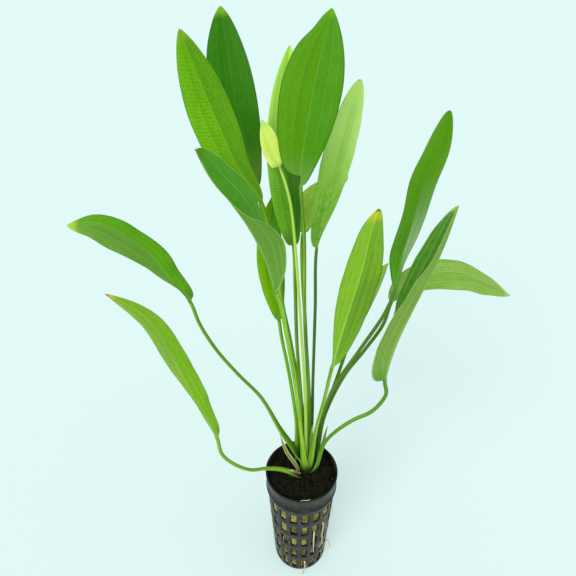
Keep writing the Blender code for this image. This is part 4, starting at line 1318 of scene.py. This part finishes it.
paths = []
for _ in range(70):
    r = (SOIL_EDGE_RADIUS - 1.5) * math.sqrt(rng.random())
    turn = rng.random() * math.tau
    heading = (rng.normal(), rng.normal(), 0)
    flat_path = wander((r * math.cos(turn), r * math.sin(turn), 0), heading, rng.uniform(3, 11), 0.9, 0.25)
    from_middle = np.maximum(np.hypot(flat_path[:, 0], flat_path[:, 1]), 1e-6)
    inside = np.minimum(1, (SOIL_EDGE_RADIUS - 0.6) / from_middle)
    x, y = flat_path[:, 0] * inside, flat_path[:, 1] * inside
    paths.append(np.stack([x, y, soil_height(x, y) + 0.2 + 0.25 * np.abs(flat_path[:, 2])], axis=-1))
points, faces = tubes(paths, rng.uniform(0.07, 0.14, len(paths)), 4)
add_piece("soil_fibres", points, faces, dry_fibre)
print("crumbs and", len(paths), "fibres")

# %% [markdown]
# All the stalks rise from one short, knobbly rootstock. Only a little of it shows
# between their feet, as a brown-green stump with the scars of old leaves.

# %% Rootstock
heights = np.linspace(78, 88.4, 26)
turns = np.radians(np.arange(0, 360, 5.0))
turn_grid, z_grid = np.meshgrid(turns, heights)
profile = 8.6 * np.clip(1 - ((heights - 82) / 7.2) ** 4, 0.02, 1) ** 0.5
outward = profile[:, None]
stump = np.stack([np.cos(turn_grid) * outward, np.sin(turn_grid) * outward, z_grid], axis=-1)
knobs = 1 + 0.09 * noise_grid(stump, 3.0, 8) + 0.03 * np.sin(z_grid * 3.6)
stump = stump * knobs[..., None] ** (1, 1, 0) + (CROWN[0], CROWN[1], 0)
add_piece("rootstock_fine", stump, closed_loft(stump), bark, ["rootstock"])
print("rootstock grid:", stump.shape[:2])

# %% [markdown]
# Cream roots have grown out of the windows, most of them on the right. The four
# thick ones follow the routes of their plain parts. Some hair-thin ones leave
# other windows and hang down the wall in loose curls. Each of these is given by the
# azimuth and height where it starts, its length and how far it stands off the wall.

# %% Roots
ROOTS = {
    "root_front": ((24.5, 50.5, -0.4), (23.2, 49.2, 0.5), (22.5, 46.5, 1.2), (23, 41, 0.9), (23.8, 35, 0.9),
                   (24.8, 29, 0.9), (25.6, 24, 1.2)),
    "root_right": ((43.5, 55, -0.4), (42.4, 53.6, 0.5), (40.8, 51, 1.2), (41.4, 45, 1), (42.6, 38, 0.9),
                   (44, 32, 1.0), (45, 27.5, 1.2)),
    "root_side": ((66, 24, -0.4), (67, 21.8, 0.5), (68, 20.3, 1.8), (67, 18.8, 3.3), (65, 17, 4.2),
                  (62.5, 15.8, 4.4)),
    "root_low": ((9, 12, -0.4), (9.5, 9.6, 0.4), (9, 6.5, 1.1), (7.5, 3.2, 1.2), (6, 1.3, 2.4),
                 (4.5, 1.2, 3.8)),
}


def on_wall(places):
    """Points from azimuth in degrees, height and distance off the pot's wall."""
    return [round_pot(math.radians(a), z, wall_radius(z) + off) for a, z, off in places]


for name, places in ROOTS.items():
    curve, lengths = smooth_route(on_wall(places))
    stops = np.linspace(0, lengths[-1], 60)
    path = read_at(stops, lengths, curve)
    thick = 0.5 * (1 - 0.55 * (stops / stops[-1]) ** 2) * (1 + 0.12 * noise_grid(path, 1.2, 9))
    points, faces = tubes([path], [thick], 10)
    add_piece(name + "_fine", points, faces, root_cream, [name])
print(len(ROOTS), "thick roots")

# %% Fine roots
FINE_ROOTS = ((25, 43, 9, 0.3), (44, 61, 13, 0.4), (52, 50, 10, 0.8), (63, 44, 6, 1.4), (63, 30, 9, 0.5),
              (83, 55, 8, 0.8), (84, 30, 6, 1.2), (47, 17, 8, 0.7), (29, 11, 5, 0.3), (66, 12, 6, 0.8),
              (-32, 12, 6, 0.6), (-18, 9, 6, 1.0), (-36, 40, 5, 0.3), (12, 6, 4, 1.2), (104, 40, 12, 0.8),
              (150, 26, 14, 0.7), (187, 12, 8, 0.8), (230, 38, 10, 0.5), (266, 12, 7, 0.8), (262, 58, 6, 0.4))
paths, radii = [], []


def hang(azimuth, z, length, off):
    """A fine root that leaves a window and wanders down the wall."""
    steps = max(5, round(length / 1.4))
    drift = rng.normal(0, 1.6, steps).cumsum() * 0.35
    down = np.linspace(0, length, steps)
    rise = off * np.clip(down / 2.5, 0, 1)
    places = []
    for i in range(steps):
        height = max(z - down[i] * rng.uniform(0.93, 1.0), 0.5)
        off_wall = -1.1 + 1.5 * min(1, down[i] / 1.2) + rise[i] * rng.uniform(0.8, 1.0)
        places.append((azimuth + drift[i], height, off_wall))
    curve, lengths = smooth_route(on_wall(places))
    stops = np.linspace(0, lengths[-1], steps * 3)
    paths.append(read_at(stops, lengths, curve))
    radii.append(np.linspace(1.0, 0.45, len(stops)) * rng.uniform(0.11, 0.2))


for azimuth, z, length, off in FINE_ROOTS:
    hang(azimuth, z, length, off)
points, faces = tubes(paths, radii, 6)
add_piece("fine_roots", points, faces, root_cream)
print(len(paths), "fine roots")

# %% [markdown]
# The last cell prints both sizes, which should agree. The fine pieces may
# stand out from the plain model's box by only a little.

# %% Sizes
dressed_low, dressed_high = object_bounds()
for label, size in (("plain", plain_high - plain_low), ("dressed", dressed_high - dressed_low)):
    print(label, [round(v, 4) for v in size])
